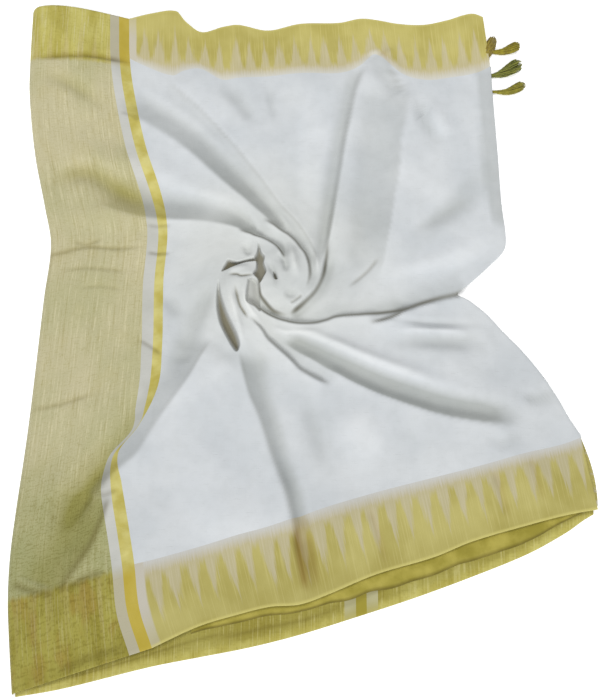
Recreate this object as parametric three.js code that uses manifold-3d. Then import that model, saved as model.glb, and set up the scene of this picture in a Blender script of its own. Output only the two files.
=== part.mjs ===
// A handloom saree laid flat and folded into a pile of layers, its top layer pinched and wound into a
// flat rose. x runs along the length of the cloth, y across its width from hem to hem, z is up.
// Sizes are in millimetres.
import * as THREE from 'three';
import Module from 'manifold-3d';
import { mergeVertices } from 'three/addons/utils/BufferGeometryUtils.js';

// Driving dimensions
const CLOTH = 2; // thickness of a panel of the top layer, with the air in it
const SEAM = 0.3; // clearance between two stretches of cloth that meet
const STACK = 8; // height of the hidden layers, pressed flat
const REST = 0.8; // the top layer lies this far above the hidden ones
const LOFT = 7; // how far the body stands off the layers between its folds
const LOFT_REACH = 110; // distance from the outline at which it has its full loft
const SWIRL = { x: -51, y: 99, radius: 62 }; // where the cloth is pinched and wound
const DOME = { rise: 17, reach: 92 }; // the hidden layers heap up under the swirl
const YELLOW_BAR = 17; // bars woven between the striped pallu and the white body
const WHITE_BAR = 15;
const FOLD_RADIUS = 12; // the pallu's turn down to the floor at the left edge
const UNDER_CLOTH = 2; // thickness of the lower layers that show
const LAYER_INSET = 6; // the hidden layers stop this far inside the top layer's hem

// Divisions of the meshes
const BORDER_ROWS = 3;
const SIDE_ROWS = 16;
const HEM_COLUMNS = 22;
const FREE_ROWS = 16;
const FIELD_RINGS = 11;
const SWIRL_RINGS = 7;

// Sections across the cloth at its left part. share is the way from the bottom hem to the top hem,
// edge the fold at the left, body the line where the white body begins.
const ACROSS = [
  { share: 0, edgeX: -392, edgeY: -497, bodyX: -203, bodyY: -436 },
  { share: 0.06, edgeX: -401, edgeY: -432, bodyX: -222, bodyY: -384 },
  { share: 0.115, edgeX: -408, edgeY: -372, bodyX: -231, bodyY: -324 },
  { share: 0.17, edgeX: -410, edgeY: -312, bodyX: -241, bodyY: -272 },
  { share: 0.23, edgeX: -407, edgeY: -246, bodyX: -254, bodyY: -210 },
  { share: 0.27, edgeX: -404, edgeY: -202, bodyX: -262, bodyY: -164 },
  { share: 0.31, edgeX: -401, edgeY: -158, bodyX: -234, bodyY: -122 },
  { share: 0.36, edgeX: -398, edgeY: -103, bodyX: -210, bodyY: -66 },
  { share: 0.43, edgeX: -395, edgeY: -26, bodyX: -205, bodyY: 0 },
  { share: 0.53, edgeX: -391, edgeY: 83, bodyX: -207, bodyY: 100 },
  { share: 0.61, edgeX: -387, edgeY: 171, bodyX: -204, bodyY: 186 },
  { share: 0.67, edgeX: -401, edgeY: 236, bodyX: -215, bodyY: 245 },
  { share: 0.76, edgeX: -424, edgeY: 331, bodyX: -244, bodyY: 333 },
  { share: 0.86, edgeX: -441, edgeY: 440, bodyX: -267, bodyY: 430 },
  { share: 0.93, edgeX: -445, edgeY: 516, bodyX: -278, bodyY: 497 },
  { share: 1, edgeX: -447, edgeY: 593, bodyX: -284, bodyY: 577 },
];
const BOTTOM_SHARE = 0.115; // share of the width that the bottom border takes
const TOP_SHARE = 0.93; // the top border begins here
const TOP_HEM_BULGE = 15; // the pallu's top hem bows out between its corners

// Sections of the top border: its inner line and its hem, which waves where folds run out under it
const TOP_BORDER = [
  { x: -284, inner: 497, hem: 577 },
  { x: -245, inner: 476, hem: 588 },
  { x: -206, inner: 463, hem: 592 },
  { x: -190, inner: 472, hem: 572 },
  { x: -163, inner: 477, hem: 551 },
  { x: -128, inner: 457, hem: 561 },
  { x: -102, inner: 459, hem: 565 },
  { x: -53, inner: 463, hem: 554 },
  { x: 0, inner: 468, hem: 567 },
  { x: 65, inner: 469, hem: 569 },
  { x: 100, inner: 486, hem: 577 },
  { x: 124, inner: 508, hem: 575 },
  { x: 163, inner: 470, hem: 567 },
  { x: 204, inner: 456, hem: 565 },
  { x: 244, inner: 462, hem: 574 },
  { x: 286, inner: 473, hem: 588 },
  { x: 311, inner: 486, hem: 566 },
];
const TOP_CORNER = { inner: 311, hem: 304 }; // x where the top border ends, at its two lines

// Sections of the bottom border: its inner line and its hem
const BOTTOM_BORDER = [
  { x: -392, inner: -350, hem: -497 },
  { x: -326, inner: -340, hem: -477 },
  { x: -231, inner: -324, hem: -445 },
  { x: -141, inner: -300, hem: -406 },
  { x: -85, inner: -283, hem: -390 },
  { x: -42, inner: -271, hem: -380 },
  { x: 0, inner: -257, hem: -377 },
  { x: 40, inner: -243, hem: -363 },
  { x: 106, inner: -223, hem: -336 },
  { x: 188, inner: -202, hem: -312 },
  { x: 243, inner: -188, hem: -290 },
  { x: 326, inner: -164, hem: -266 },
  { x: 381, inner: -150, hem: -252 },
  { x: 426, inner: -133, hem: -244 },
];
const BOTTOM_CORNER = { inner: 408, hem: 424 }; // x where the bottom border ends

// Outer line of the lower layers that show past the bottom hem
const LOWER_HEM = [
  { x: -389, y: -500 },
  { x: -325, y: -489 },
  { x: -205, y: -460 },
  { x: -137, y: -447 },
  { x: -69, y: -434 },
  { x: 0, y: -417 },
  { x: 79, y: -393 },
  { x: 160, y: -367 },
  { x: 241, y: -338 },
  { x: 324, y: -305 },
  { x: 380, y: -275 },
  { x: 405, y: -258 },
  { x: 424, y: -247 },
];

// Free edge at the right, from the bottom border up to the top one, with the notch of the overlap
const FREE_EDGE = [
  { y: -138, x: 408 },
  { y: -110, x: 392 },
  { y: -78, x: 377 },
  { y: -44, x: 357 },
  { y: -7, x: 330 },
  { y: 24, x: 303 },
  { y: 52, x: 280 },
  { y: 72, x: 257 },
  { y: 84, x: 238 },
  { y: 104, x: 259 },
  { y: 134, x: 291 },
  { y: 158, x: 313 },
  { y: 182, x: 317 },
  { y: 236, x: 314 },
  { y: 324, x: 313 },
  { y: 443, x: 311 },
  { y: 486, x: 311 },
];

// Folds of the top layer, each running from its outer end over a bend to its end at the swirl.
// rise is positive on a ridge and negative in a hollow, half and tip its half widths at the two ends.
const FOLDS = [
  { name: 'left hollow', x0: -410, y0: 285, x1: -206, y1: 232, x2: -25, y2: 160, rise: -9, half: 34, tip: 15 },
  { name: 'left ridge', x0: -415, y0: 330, x1: -235, y1: 295, x2: -40, y2: 180, rise: 9, half: 34, tip: 14 },
  { name: 'border hollow', x0: -440, y0: 480, x1: -200, y1: 385, x2: -27, y2: 195, rise: -10, half: 30, tip: 12 },
  { name: 'border ridge', x0: -216, y0: 500, x1: -140, y1: 400, x2: 0, y2: 190, rise: 9, half: 24, tip: 14 },
  { name: 'thin hollow', x0: -170, y0: 560, x1: -87, y1: 318, x2: 17, y2: 150, rise: -7, half: 16, tip: 9 },
  { name: 'top ridge', x0: 60, y0: 480, x1: 25, y1: 330, x2: 25, y2: 160, rise: 8, half: 34, tip: 14 },
  { name: 'narrow hollow', x0: 95, y0: 490, x1: 50, y1: 290, x2: 23, y2: 100, rise: -8, half: 15, tip: 9 },
  { name: 'broad hollow', x0: 128, y0: 570, x1: 125, y1: 300, x2: 57, y2: 90, rise: -11, half: 28, tip: 13 },
  { name: 'right ridge', x0: 190, y0: 400, x1: 165, y1: 240, x2: 65, y2: 65, rise: 10, half: 42, tip: 14 },
  { name: 'overlap ridge', x0: 240, y0: 108, x1: 160, y1: 80, x2: 5, y2: 45, rise: 10, half: 24, tip: 12 },
  { name: 'overlap hollow', x0: 232, y0: 62, x1: 130, y1: 38, x2: -15, y2: 18, rise: -8, half: 20, tip: 10 },
  { name: 'bright ridge', x0: 330, y0: -70, x1: 150, y1: -35, x2: -5, y2: -2, rise: 11, half: 26, tip: 14 },
  { name: 'long hollow', x0: 320, y0: -130, x1: 150, y1: -75, x2: -20, y2: -22, rise: -12, half: 24, tip: 12 },
  { name: 'lower ridge', x0: 210, y0: -180, x1: 70, y1: -100, x2: -67, y2: 20, rise: 9, half: 40, tip: 12 },
  { name: 'lower hollow', x0: 18, y0: -350, x1: -58, y1: -110, x2: -123, y2: 82, rise: -11, half: 18, tip: 13 },
  { name: 'downward ridge', x0: -70, y0: -290, x1: -125, y1: -80, x2: -137, y2: 85, rise: 10, half: 34, tip: 15 },
  { name: 'slant hollow', x0: -310, y0: -300, x1: -200, y1: -85, x2: -155, y2: 70, rise: -9, half: 26, tip: 17 },
  { name: 'pallu ridge', x0: -330, y0: -260, x1: -275, y1: -60, x2: -175, y2: 120, rise: 7, half: 38, tip: 22 },
];

// Wound ridges of the swirl
const ROSE = { arms: 3, pitch: 2.1, depth: 5, rise: 6, eye: 9 };

const mix = (a, b, share) => a + (b - a) * share;
const clamp = (value) => Math.min(1, Math.max(0, value));
const ease = (value) => clamp(value) ** 2 * (3 - 2 * clamp(value));

// A smooth line through one column of a table, as a function of its key column
function through(rows, key, column) {
  const slope = (k) => {
    const low = rows[Math.max(0, k - 1)];
    const high = rows[Math.min(rows.length - 1, k + 1)];
    return (high[column] - low[column]) / (high[key] - low[key]);
  };
  return (at) => {
    let k = 0;
    while (k < rows.length - 2 && at > rows[k + 1][key]) k += 1;
    const span = rows[k + 1][key] - rows[k][key];
    const s = (at - rows[k][key]) / span;
    return (
      rows[k][column] * (2 * s ** 3 - 3 * s ** 2 + 1) +
      rows[k + 1][column] * (3 * s ** 2 - 2 * s ** 3) +
      span * slope(k) * (s ** 3 - 2 * s ** 2 + s) +
      span * slope(k + 1) * (s ** 3 - s ** 2)
    );
  };
}

const edgeX = through(ACROSS, 'share', 'edgeX');
const edgeY = through(ACROSS, 'share', 'edgeY');
const bodyX = through(ACROSS, 'share', 'bodyX');
const bodyY = through(ACROSS, 'share', 'bodyY');
const topInner = through(TOP_BORDER, 'x', 'inner');
const topHem = through(TOP_BORDER, 'x', 'hem');
const bottomInner = through(BOTTOM_BORDER, 'x', 'inner');
const bottomHem = through(BOTTOM_BORDER, 'x', 'hem');
const lowerHem = through(LOWER_HEM, 'x', 'y');
const freeEdge = through(FREE_EDGE, 'y', 'x');

// Shares of the width at which the left pieces have their rows, so that borders and field meet them
const shares = [];
for (let k = 0; k < BORDER_ROWS; k += 1) shares.push((BOTTOM_SHARE * k) / BORDER_ROWS);
for (let k = 0; k < SIDE_ROWS; k += 1) shares.push(mix(BOTTOM_SHARE, TOP_SHARE, k / SIDE_ROWS));
for (let k = 0; k <= BORDER_ROWS; k += 1) shares.push(mix(TOP_SHARE, 1, k / BORDER_ROWS));

// A point of the left part, at a distance from the line where the body begins, towards the edge
function leftPoint(share, distance) {
  const edge = new THREE.Vector2(edgeX(share), edgeY(share));
  const body = new THREE.Vector2(bodyX(share), bodyY(share));
  const across = distance / body.distanceTo(edge);
  const point = body.lerp(edge, across);
  const bulge = TOP_HEM_BULGE * Math.sin(Math.PI * clamp(1 - across) ** 0.6);
  point.y += bulge * ease((share - 0.85) / 0.15);
  return point;
}

// A point of a border: column runs along it, row from its hem to its inner line. Its left end follows
// the line of the bars.
function borderPoint(column, row, inner, hem, corner, shareAt) {
  const bodyEnd = leftPoint(shareAt(row), 0);
  const start = { inner: leftPoint(shareAt(1), 0), hem: leftPoint(shareAt(0), 0) };
  const innerX = mix(start.inner.x, corner.inner, column);
  const hemX = mix(start.hem.x, corner.hem, column);
  const point = new THREE.Vector2(mix(hemX, innerX, row), mix(hem(hemX), inner(innerX), row));
  const straight = start.hem.clone().lerp(start.inner, row);
  const atEnd = new THREE.Vector2(0, mix(hem(start.hem.x), inner(start.inner.x), row));
  const near = (1 - column) ** 6;
  point.x += (bodyEnd.x - straight.x) * near;
  point.y += (bodyEnd.y - atEnd.y) * near;
  return point;
}
const bottomPoint = (column, row) =>
  borderPoint(column, row, bottomInner, bottomHem, BOTTOM_CORNER, (r) => BOTTOM_SHARE * r);
const topPoint = (column, row) =>
  borderPoint(column, row, topInner, topHem, TOP_CORNER, (r) => mix(1, TOP_SHARE, r));

// Lines along which the stretches meet, and the outline of the top layer, all run anticlockwise
const line = (count, at) => Array.from({ length: count + 1 }, (_, k) => at(k / count));
const fieldLoop = [
  ...line(HEM_COLUMNS, (s) => bottomPoint(s, 1)).slice(0, -1),
  ...line(FREE_ROWS, (s) => freePoint(s)).slice(0, -1),
  ...line(HEM_COLUMNS, (s) => topPoint(1 - s, 1)).slice(0, -1),
  ...line(SIDE_ROWS, (s) => leftPoint(mix(TOP_SHARE, BOTTOM_SHARE, s), 0)).slice(0, -1),
];
const palluWidth = (share) =>
  Math.hypot(bodyX(share) - edgeX(share), bodyY(share) - edgeY(share));
const outline = [
  ...line(6, (s) => leftPoint(0, mix(palluWidth(0), 0, s))).slice(0, -1),
  ...line(HEM_COLUMNS, (s) => bottomPoint(s, 0)).slice(0, -1),
  ...line(BORDER_ROWS, (s) => bottomPoint(1, s)).slice(0, -1),
  ...line(FREE_ROWS, (s) => freePoint(s)).slice(0, -1),
  ...line(BORDER_ROWS, (s) => topPoint(1, 1 - s)).slice(0, -1),
  ...line(HEM_COLUMNS, (s) => topPoint(1 - s, 0)).slice(0, -1),
  ...line(6, (s) => leftPoint(1, mix(0, palluWidth(1), s))).slice(0, -1),
  ...shares.slice(1).reverse().map((share) => leftPoint(share, palluWidth(share))),
];

function freePoint(s) {
  const low = bottomPoint(1, 1);
  const high = topPoint(1, 1);
  const y = mix(low.y, high.y, s);
  return new THREE.Vector2(mix(freeEdge(y), s < 0.5 ? low.x : high.x, s === 0 || s === 1 ? 1 : 0), y);
}

function distanceToOutline(point) {
  let nearest = Infinity;
  outline.forEach((from, k) => {
    const to = outline[(k + 1) % outline.length];
    const run = to.clone().sub(from);
    const share = clamp(point.clone().sub(from).dot(run) / run.lengthSq());
    nearest = Math.min(nearest, from.clone().addScaledVector(run, share).distanceTo(point));
  });
  return nearest;
}

// Height that one fold adds at a point: a soft round profile about the fold's curve
const FOLD_STEPS = 20;
const foldRuns = FOLDS.map((fold) => {
  const start = new THREE.Vector2(fold.x0, fold.y0);
  const end = new THREE.Vector2(fold.x2, fold.y2);
  const bend = new THREE.Vector2(fold.x1, fold.y1).multiplyScalar(2);
  bend.addScaledVector(start, -0.5).addScaledVector(end, -0.5);
  const points = new THREE.QuadraticBezierCurve(start, bend, end).getPoints(FOLD_STEPS);
  return { fold, points };
});
function foldHeight(point) {
  return foldRuns.reduce((sum, { fold, points }) => {
    let nearest = Infinity;
    let place = 0;
    points.forEach((at, k) => {
      const away = at.distanceTo(point);
      if (away < nearest) {
        nearest = away;
        place = k / FOLD_STEPS;
      }
    });
    return sum + fold.rise * Math.exp(-((nearest / mix(fold.half, fold.tip, place)) ** 2));
  }, 0);
}

const fromSwirl = (point) => Math.hypot(point.x - SWIRL.x, point.y - SWIRL.y);
const layersTop = (point) => STACK + DOME.rise * Math.exp(-((fromSwirl(point) / DOME.reach) ** 2));

// Underside of the top layer
function clothHeight(point) {
  const stand = LOFT * ease(distanceToOutline(point) / LOFT_REACH) + foldHeight(point);
  const lifted = (stand + Math.hypot(stand, 3)) / 2;
  return layersTop(point) + REST + lifted;
}

// Underside of the swirl: spiral ridges on a low mound, with a dimple at its eye
function swirlHeight(point) {
  const away = fromSwirl(point);
  const bearing = Math.atan2(point.y - SWIRL.y, point.x - SWIRL.x);
  const inside = ease((SWIRL.radius - away) / 22);
  const wound = Math.cos(ROSE.arms * bearing + ROSE.pitch * ROSE.arms * Math.log(away + ROSE.eye));
  const eye = 1 - Math.exp(-((away / ROSE.eye) ** 2));
  const rose = ROSE.rise + ROSE.depth * wound * eye;
  return clothHeight(point) + inside * (rose - 0.5 * ROSE.rise * (1 - eye));
}

const colours = {
  pallu: 0xc3bd8c,
  white: 0xe4e5e3,
  yellow: 0xc4ba62,
  border: 0xc2ba68,
  hidden: 0xd6d6cf,
  olive: 0xa89c3e,
  tassel: 0x8c8a2c,
};
const cloth = (colour) => new THREE.MeshStandardMaterial({ color: colour, roughness: 0.9, metalness: 0 });

// A closed wall over a grid of plan points with its underside height. Its edges draw in by half a
// seam. A round wall closes on itself, and a pole closes its last row to one point.
function wall(name, colour, grid, { round = false, pole = false, thickness = CLOTH } = {}) {
  const rows = grid.length - 1;
  const count = grid[0].length;
  const inset = (row, k) => {
    const point = grid[row][k].clone();
    const towards = (other) => {
      const step = new THREE.Vector2(other.x - point.x, other.y - point.y).setLength(SEAM / 2);
      point.x += step.x;
      point.y += step.y;
    };
    if (row === 0) towards(grid[1][k]);
    if (row === rows && !pole) towards(grid[rows - 1][k]);
    if (!round && k === 0) towards(grid[row][1]);
    if (!round && k === count - 1) towards(grid[row][count - 2]);
    return point;
  };
  const positions = [];
  for (let row = 0; row <= rows; row += 1) {
    for (let k = 0; k < count; k += 1) {
      const point = inset(row, k);
      positions.push(point.x, point.y, point.z, point.x, point.y, point.z + thickness);
    }
  }
  const under = (row, k) => 2 * (row * count + (pole && row === rows ? 0 : k % count));
  const over = (row, k) => under(row, k) + 1;
  const index = [];
  const triangle = (a, b, c) => {
    if (a !== b && b !== c && c !== a) index.push(a, b, c);
  };
  const quad = (a, b, c, d) => {
    triangle(a, b, c);
    triangle(a, c, d);
  };
  const columns = round ? count : count - 1;
  for (let row = 0; row < rows; row += 1) {
    for (let k = 0; k < columns; k += 1) {
      quad(over(row, k), over(row, k + 1), over(row + 1, k + 1), over(row + 1, k));
      quad(under(row, k), under(row + 1, k), under(row + 1, k + 1), under(row, k + 1));
    }
  }
  for (let k = 0; k < columns; k += 1) {
    quad(under(0, k), under(0, k + 1), over(0, k + 1), over(0, k));
    if (!pole) quad(under(rows, k + 1), under(rows, k), over(rows, k), over(rows, k + 1));
  }
  for (let row = 0; !round && row < rows; row += 1) {
    quad(under(row + 1, 0), under(row, 0), over(row, 0), over(row + 1, 0));
    quad(under(row, columns), under(row + 1, columns), over(row + 1, columns), over(row, columns));
  }
  const geometry = new THREE.BufferGeometry();
  geometry.setAttribute('position', new THREE.Float32BufferAttribute(positions, 3));
  geometry.setIndex(index);
  const mesh = new THREE.Mesh(geometry, cloth(colour));
  mesh.name = name;
  return mesh;
}
const lifted = (height) => (point) => new THREE.Vector3(point.x, point.y, height(point));
const gridOf = (rows, columns, at) => line(rows, (r) => line(columns, (c) => at(c, r)));

const saree = new THREE.Group();

// Pallu: the striped end panel, turned down to the floor along the fold at its left edge
const PALLU_COLUMNS = 7;
const palluSteps = [0, 4, FOLD_RADIUS];
for (let k = 1; k <= PALLU_COLUMNS; k += 1) palluSteps.push(k / PALLU_COLUMNS);
const palluGrid = shares.map((share) =>
  palluSteps.map((step, k) => {
    const width = palluWidth(share);
    const inner = YELLOW_BAR + WHITE_BAR;
    const distance = k < 3 ? width - step : mix(width - FOLD_RADIUS, inner, step);
    const point = leftPoint(share, distance);
    const turn = clamp((width - distance) / FOLD_RADIUS);
    return new THREE.Vector3(point.x, point.y, clothHeight(point) * Math.sqrt(1 - (1 - turn) ** 2));
  }),
);
saree.add(wall('pallu', colours.pallu, palluGrid));

// The two bars beside it
const barGrid = (from, to) =>
  shares.map((share) => [from, to].map((d) => lifted(clothHeight)(leftPoint(share, d))));
saree.add(wall('bar_white', colours.white, barGrid(YELLOW_BAR + WHITE_BAR, YELLOW_BAR)));
saree.add(wall('bar_yellow', colours.yellow, barGrid(YELLOW_BAR, 0)));

// Borders along both hems
const bottomGrid = gridOf(BORDER_ROWS, HEM_COLUMNS, bottomPoint);
const topGrid = gridOf(BORDER_ROWS, HEM_COLUMNS, (c, r) => topPoint(c, 1 - r));
const raised = (grid) => grid.map((row) => row.map(lifted(clothHeight)));
saree.add(wall('border_bottom', colours.border, raised(bottomGrid)));
saree.add(wall('border_top', colours.border, raised(topGrid)));

// White body, whose spokes lean a little anticlockwise as they run in to the rim of the swirl
const SPOKE_LEAN = 0.12;
function spokePoint(start, inward) {
  const far = fromSwirl(start);
  const away = mix(far, SWIRL.radius, inward);
  const bearing = Math.atan2(start.y - SWIRL.y, start.x - SWIRL.x);
  const turned = bearing + SPOKE_LEAN * Math.log(far / away);
  return new THREE.Vector2(SWIRL.x + away * Math.cos(turned), SWIRL.y + away * Math.sin(turned));
}
const fieldGrid = line(FIELD_RINGS, (r) =>
  fieldLoop.map((start) => lifted(clothHeight)(spokePoint(start, 1 - (1 - r) ** 1.2))),
);
saree.add(wall('field', colours.white, fieldGrid, { round: true }));

// Swirl: the same spokes, wound on to its eye
const swirlGrid = line(SWIRL_RINGS, (r) =>
  fieldLoop.map((start) => {
    const rim = spokePoint(start, 1);
    const point = new THREE.Vector2(mix(rim.x, SWIRL.x, r), mix(rim.y, SWIRL.y, r));
    return lifted(swirlHeight)(point);
  }),
);
saree.add(wall('swirl', colours.white, swirlGrid, { round: true, pole: true }));

// Points of the outline drawn in by a distance, along the normal at each
function drawnIn(points, distances) {
  return points.map((point, k) => {
    const before = points[(k + points.length - 1) % points.length];
    const after = points[(k + 1) % points.length];
    const along = after.clone().sub(before).normalize();
    return new THREE.Vector2(point.x - along.y * distances[k], point.y + along.x * distances[k]);
  });
}

// Lower layers that show past the bottom hem: the pallu turned under, with its bars
const LOWER_STRETCHES = [
  { name: 'under_pallu_left', colour: 'pallu', from: -383, to: 62, columns: 16 },
  { name: 'under_bar_white_left', colour: 'white', from: 62, to: 78, columns: 1 },
  { name: 'under_bar_yellow', colour: 'yellow', from: 78, to: 93, columns: 1 },
  { name: 'under_bar_white_right', colour: 'white', from: 93, to: 109, columns: 1 },
  { name: 'under_pallu_right', colour: 'pallu', from: 109, to: 416, columns: 12 },
];
const stations = ({ from, to, columns }) => line(columns, (s) => mix(from, to, s));
const lowerXs = [...new Set(LOWER_STRETCHES.flatMap(stations))];

// Hidden layers: one rounded solid with a flat underside, whose rim steps in and out layer by layer
const hemInner = (x) => new THREE.Vector2(x, bottomHem(x) + LAYER_INSET);
const layerLoop = [
  ...lowerXs.map(hemInner),
  ...outline.filter(isPastBottomHem),
];
function isPastBottomHem(point, k) {
  const firstPast = 6 + HEM_COLUMNS + 1;
  return k >= firstPast && k < outline.length - 1;
}
const FOLDED_SIDE = -380;
const layerInsets = layerLoop.map((point, k) => {
  if (k < lowerXs.length) return 0;
  return point.x < FOLDED_SIDE ? FOLD_RADIUS + 2 : 4;
});
const layerRim = drawnIn(layerLoop, layerInsets);
const LAYER_STEPS = [0, 2.6, 0.8, 3.4];
const layerRings = LAYER_STEPS.flatMap((step, k) => {
  const inset = layerLoop.map(() => step);
  const ring = drawnIn(layerRim, inset);
  return [k, k + 1].map((level) => ({ ring, z: (STACK * level) / LAYER_STEPS.length }));
});
const capShares = [0.25, 0.5, 0.64, 0.76, 0.87, 0.95];
const capRings = capShares.map((share) => {
  const ring = layerRings[layerRings.length - 1].ring.map(
    (point) => new THREE.Vector2(mix(point.x, SWIRL.x, share), mix(point.y, SWIRL.y, share)),
  );
  return { ring, z: null };
});
const hiddenPositions = [];
[...layerRings, ...capRings].forEach(({ ring, z }) => {
  ring.forEach((point) => hiddenPositions.push(point.x, point.y, z ?? layersTop(point)));
});
const ringCount = layerRings.length + capRings.length;
const rimCount = layerRim.length;
const topPole = ringCount * rimCount;
hiddenPositions.push(SWIRL.x, SWIRL.y, layersTop(SWIRL), SWIRL.x, SWIRL.y, 0);
const hiddenIndex = [];
for (let k = 0; k < rimCount; k += 1) {
  const next = (k + 1) % rimCount;
  hiddenIndex.push(topPole + 1, next, k);
  for (let ring = 0; ring < ringCount - 1; ring += 1) {
    const low = ring * rimCount;
    const high = low + rimCount;
    hiddenIndex.push(low + k, low + next, high + next, low + k, high + next, high + k);
  }
  const last = (ringCount - 1) * rimCount;
  hiddenIndex.push(last + k, last + next, topPole);
}
const hiddenGeometry = new THREE.BufferGeometry();
hiddenGeometry.setAttribute('position', new THREE.Float32BufferAttribute(hiddenPositions, 3));
hiddenGeometry.setIndex(hiddenIndex);
const hidden = new THREE.Mesh(hiddenGeometry, cloth(colours.hidden));
hidden.name = 'under_layers';
saree.add(hidden);

// The lower layers lie on the floor, from the side of the hidden ones out to their own hem
const LOWER_GAP = 0.6;
const lowerGrid = (xs, reach, height) =>
  [(x) => reach(x), () => 0].map((share) =>
    xs.map((x) => {
      const inner = hemInner(x).y - LOWER_GAP;
      return new THREE.Vector3(x, mix(inner, lowerHem(x), share(x)), height);
    }),
  );
LOWER_STRETCHES.forEach((stretch) => {
  const grid = lowerGrid(stations(stretch), () => 1, 0);
  saree.add(wall(stretch.name, colours[stretch.colour], grid, { thickness: UNDER_CLOTH }));
});

// Olive inner layer on them, just under the bottom hem
const innerReach = (x) => mix(0.35, 0.6, ease((x + 60) / 260));
const innerXs = lowerXs.filter((x) => x > -140 && x < 412);
const innerGrid = lowerGrid(innerXs, innerReach, UNDER_CLOTH + SEAM);
saree.add(wall('inner_fold', colours.olive, innerGrid, { thickness: UNDER_CLOTH }));

// Corner of a lower layer's border, past the end of the bottom border
const CORNER_SHOWS = 7;
const cornerGrid = gridOf(BORDER_ROWS, 1, (c, r) => {
  const end = bottomPoint(1, mix(0.08, 1.02, r));
  const past = CORNER_SHOWS * Math.sin(Math.PI * mix(0.08, 0.9, r));
  return new THREE.Vector3(end.x + mix(-3.2, past, c), end.y, 0);
});
saree.add(wall('border_corner', colours.border, cornerGrid, { thickness: UNDER_CLOTH }));

// Tassels: a neck out of the hem, a knotted head, and strands that part from it. Each row gives the
// head, the bend and the tip of its middle strand, with how far the outer strands stand from it.
const TASSELS = [
  { name: 'tassel_1', headX: 317, headY: 541, bendX: 319, bendY: 521, bendZ: 10.8, tipX: 316, tipY: 497, spread: 2.6 },
  { name: 'tassel_2', headX: 330, headY: 521, bendX: 345, bendY: 524, bendZ: 6.5, tipX: 361, tipY: 530, spread: 3.4 },
  { name: 'tassel_3', headX: 322, headY: 475, bendX: 338, bendY: 480, bendZ: 6.5, tipX: 358, tipY: 492, spread: 4 },
  { name: 'tassel_4', headX: 322, headY: 443, bendX: 341, bendY: 443, bendZ: 6, tipX: 361, tipY: 455, spread: 3 },
];
const STRANDS = 8;
const STRAND = { share: 0.27, sides: 4, steps: 4, root: 0.72 }; // share of the spread
const HEAD = { share: 1.2, height: 5.6 };
const NECK = { radius: 1.6, height: 4.6, inside: 4.5 }; // it comes out of the layers, under the hem
const topEnd = { inner: topPoint(1, 1), hem: topPoint(1, 0) };
const rightEdge = (y) => {
  const past = (y - topEnd.inner.y) / (topEnd.hem.y - topEnd.inner.y);
  return past < 0 ? freeEdge(y) : mix(topEnd.inner.x, topEnd.hem.x, past);
};

const wasm = await Module();
wasm.setup();
function solidOf(geometry) {
  const bare = geometry.clone();
  bare.deleteAttribute('normal');
  bare.deleteAttribute('uv');
  const merged = mergeVertices(bare, 1e-4);
  return new wasm.Manifold(
    new wasm.Mesh({
      numProp: 3,
      vertProperties: new Float32Array(merged.attributes.position.array),
      triVerts: new Uint32Array(merged.index.array),
    }),
  );
}
// A closed rod of a few sides along a curve
function rod(curve, radius, sides, steps) {
  const positions = [];
  const index = [];
  const frames = curve.computeFrenetFrames(steps, false);
  line(steps, (s) => curve.getPointAt(s)).forEach((at, k) => {
    for (let side = 0; side < sides; side += 1) {
      const turn = (2 * Math.PI * side) / sides;
      const point = at
        .clone()
        .addScaledVector(frames.normals[k], radius * Math.cos(turn))
        .addScaledVector(frames.binormals[k], radius * Math.sin(turn));
      positions.push(...point.toArray());
    }
  });
  for (let k = 0; k < steps; k += 1) {
    for (let side = 0; side < sides; side += 1) {
      const a = k * sides + side;
      const b = k * sides + ((side + 1) % sides);
      index.push(a, b, b + sides, a, b + sides, a + sides);
    }
  }
  for (let side = 1; side < sides - 1; side += 1) {
    index.push(0, side + 1, side);
    index.push(steps * sides, steps * sides + side, steps * sides + side + 1);
  }
  const geometry = new THREE.BufferGeometry();
  geometry.setAttribute('position', new THREE.Float32BufferAttribute(positions, 3));
  geometry.setIndex(index);
  return geometry;
}
function tassel({ name, headX, headY, bendX, bendY, bendZ, tipX, tipY, spread }) {
  const head = new THREE.SphereGeometry(HEAD.share * spread, 8, 6);
  head.translate(headX, headY, HEAD.height);
  const neckEnd = new THREE.Vector3(headX, headY, HEAD.height);
  const neckRoot = new THREE.Vector3(rightEdge(headY) - NECK.inside, headY, NECK.height);
  const neck = rod(new THREE.LineCurve3(neckRoot, neckEnd), NECK.radius, 6, 1);
  let solid = solidOf(head).add(solidOf(neck));
  const run = new THREE.Vector3(tipX - headX, tipY - headY, 0).normalize();
  const sideways = new THREE.Vector3(-run.y, run.x, 0);
  const radius = STRAND.share * spread;
  const tipZ = spread + radius + 0.8;
  for (let strand = 0; strand < STRANDS; strand += 1) {
    const turn = (2 * Math.PI * strand) / (STRANDS - 1);
    const off = strand === STRANDS - 1 ? 0 : spread;
    const shift = new THREE.Vector3(0, 0, off * Math.sin(turn));
    shift.addScaledVector(sideways, off * Math.cos(turn));
    const curve = new THREE.CatmullRomCurve3([
      new THREE.Vector3(headX, headY, HEAD.height).addScaledVector(shift, STRAND.root),
      new THREE.Vector3(bendX, bendY, bendZ).add(shift),
      new THREE.Vector3(tipX, tipY, tipZ).add(shift),
    ]);
    solid = solid.add(solidOf(rod(curve, radius, STRAND.sides, STRAND.steps)));
  }
  const { vertProperties, triVerts } = solid.getMesh();
  const geometry = new THREE.BufferGeometry();
  geometry.setAttribute('position', new THREE.BufferAttribute(vertProperties, 3));
  geometry.setIndex(new THREE.BufferAttribute(triVerts, 1));
  const mesh = new THREE.Mesh(geometry, cloth(colours.tassel));
  mesh.name = name;
  return mesh;
}
TASSELS.forEach((row) => saree.add(tassel(row)));

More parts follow.
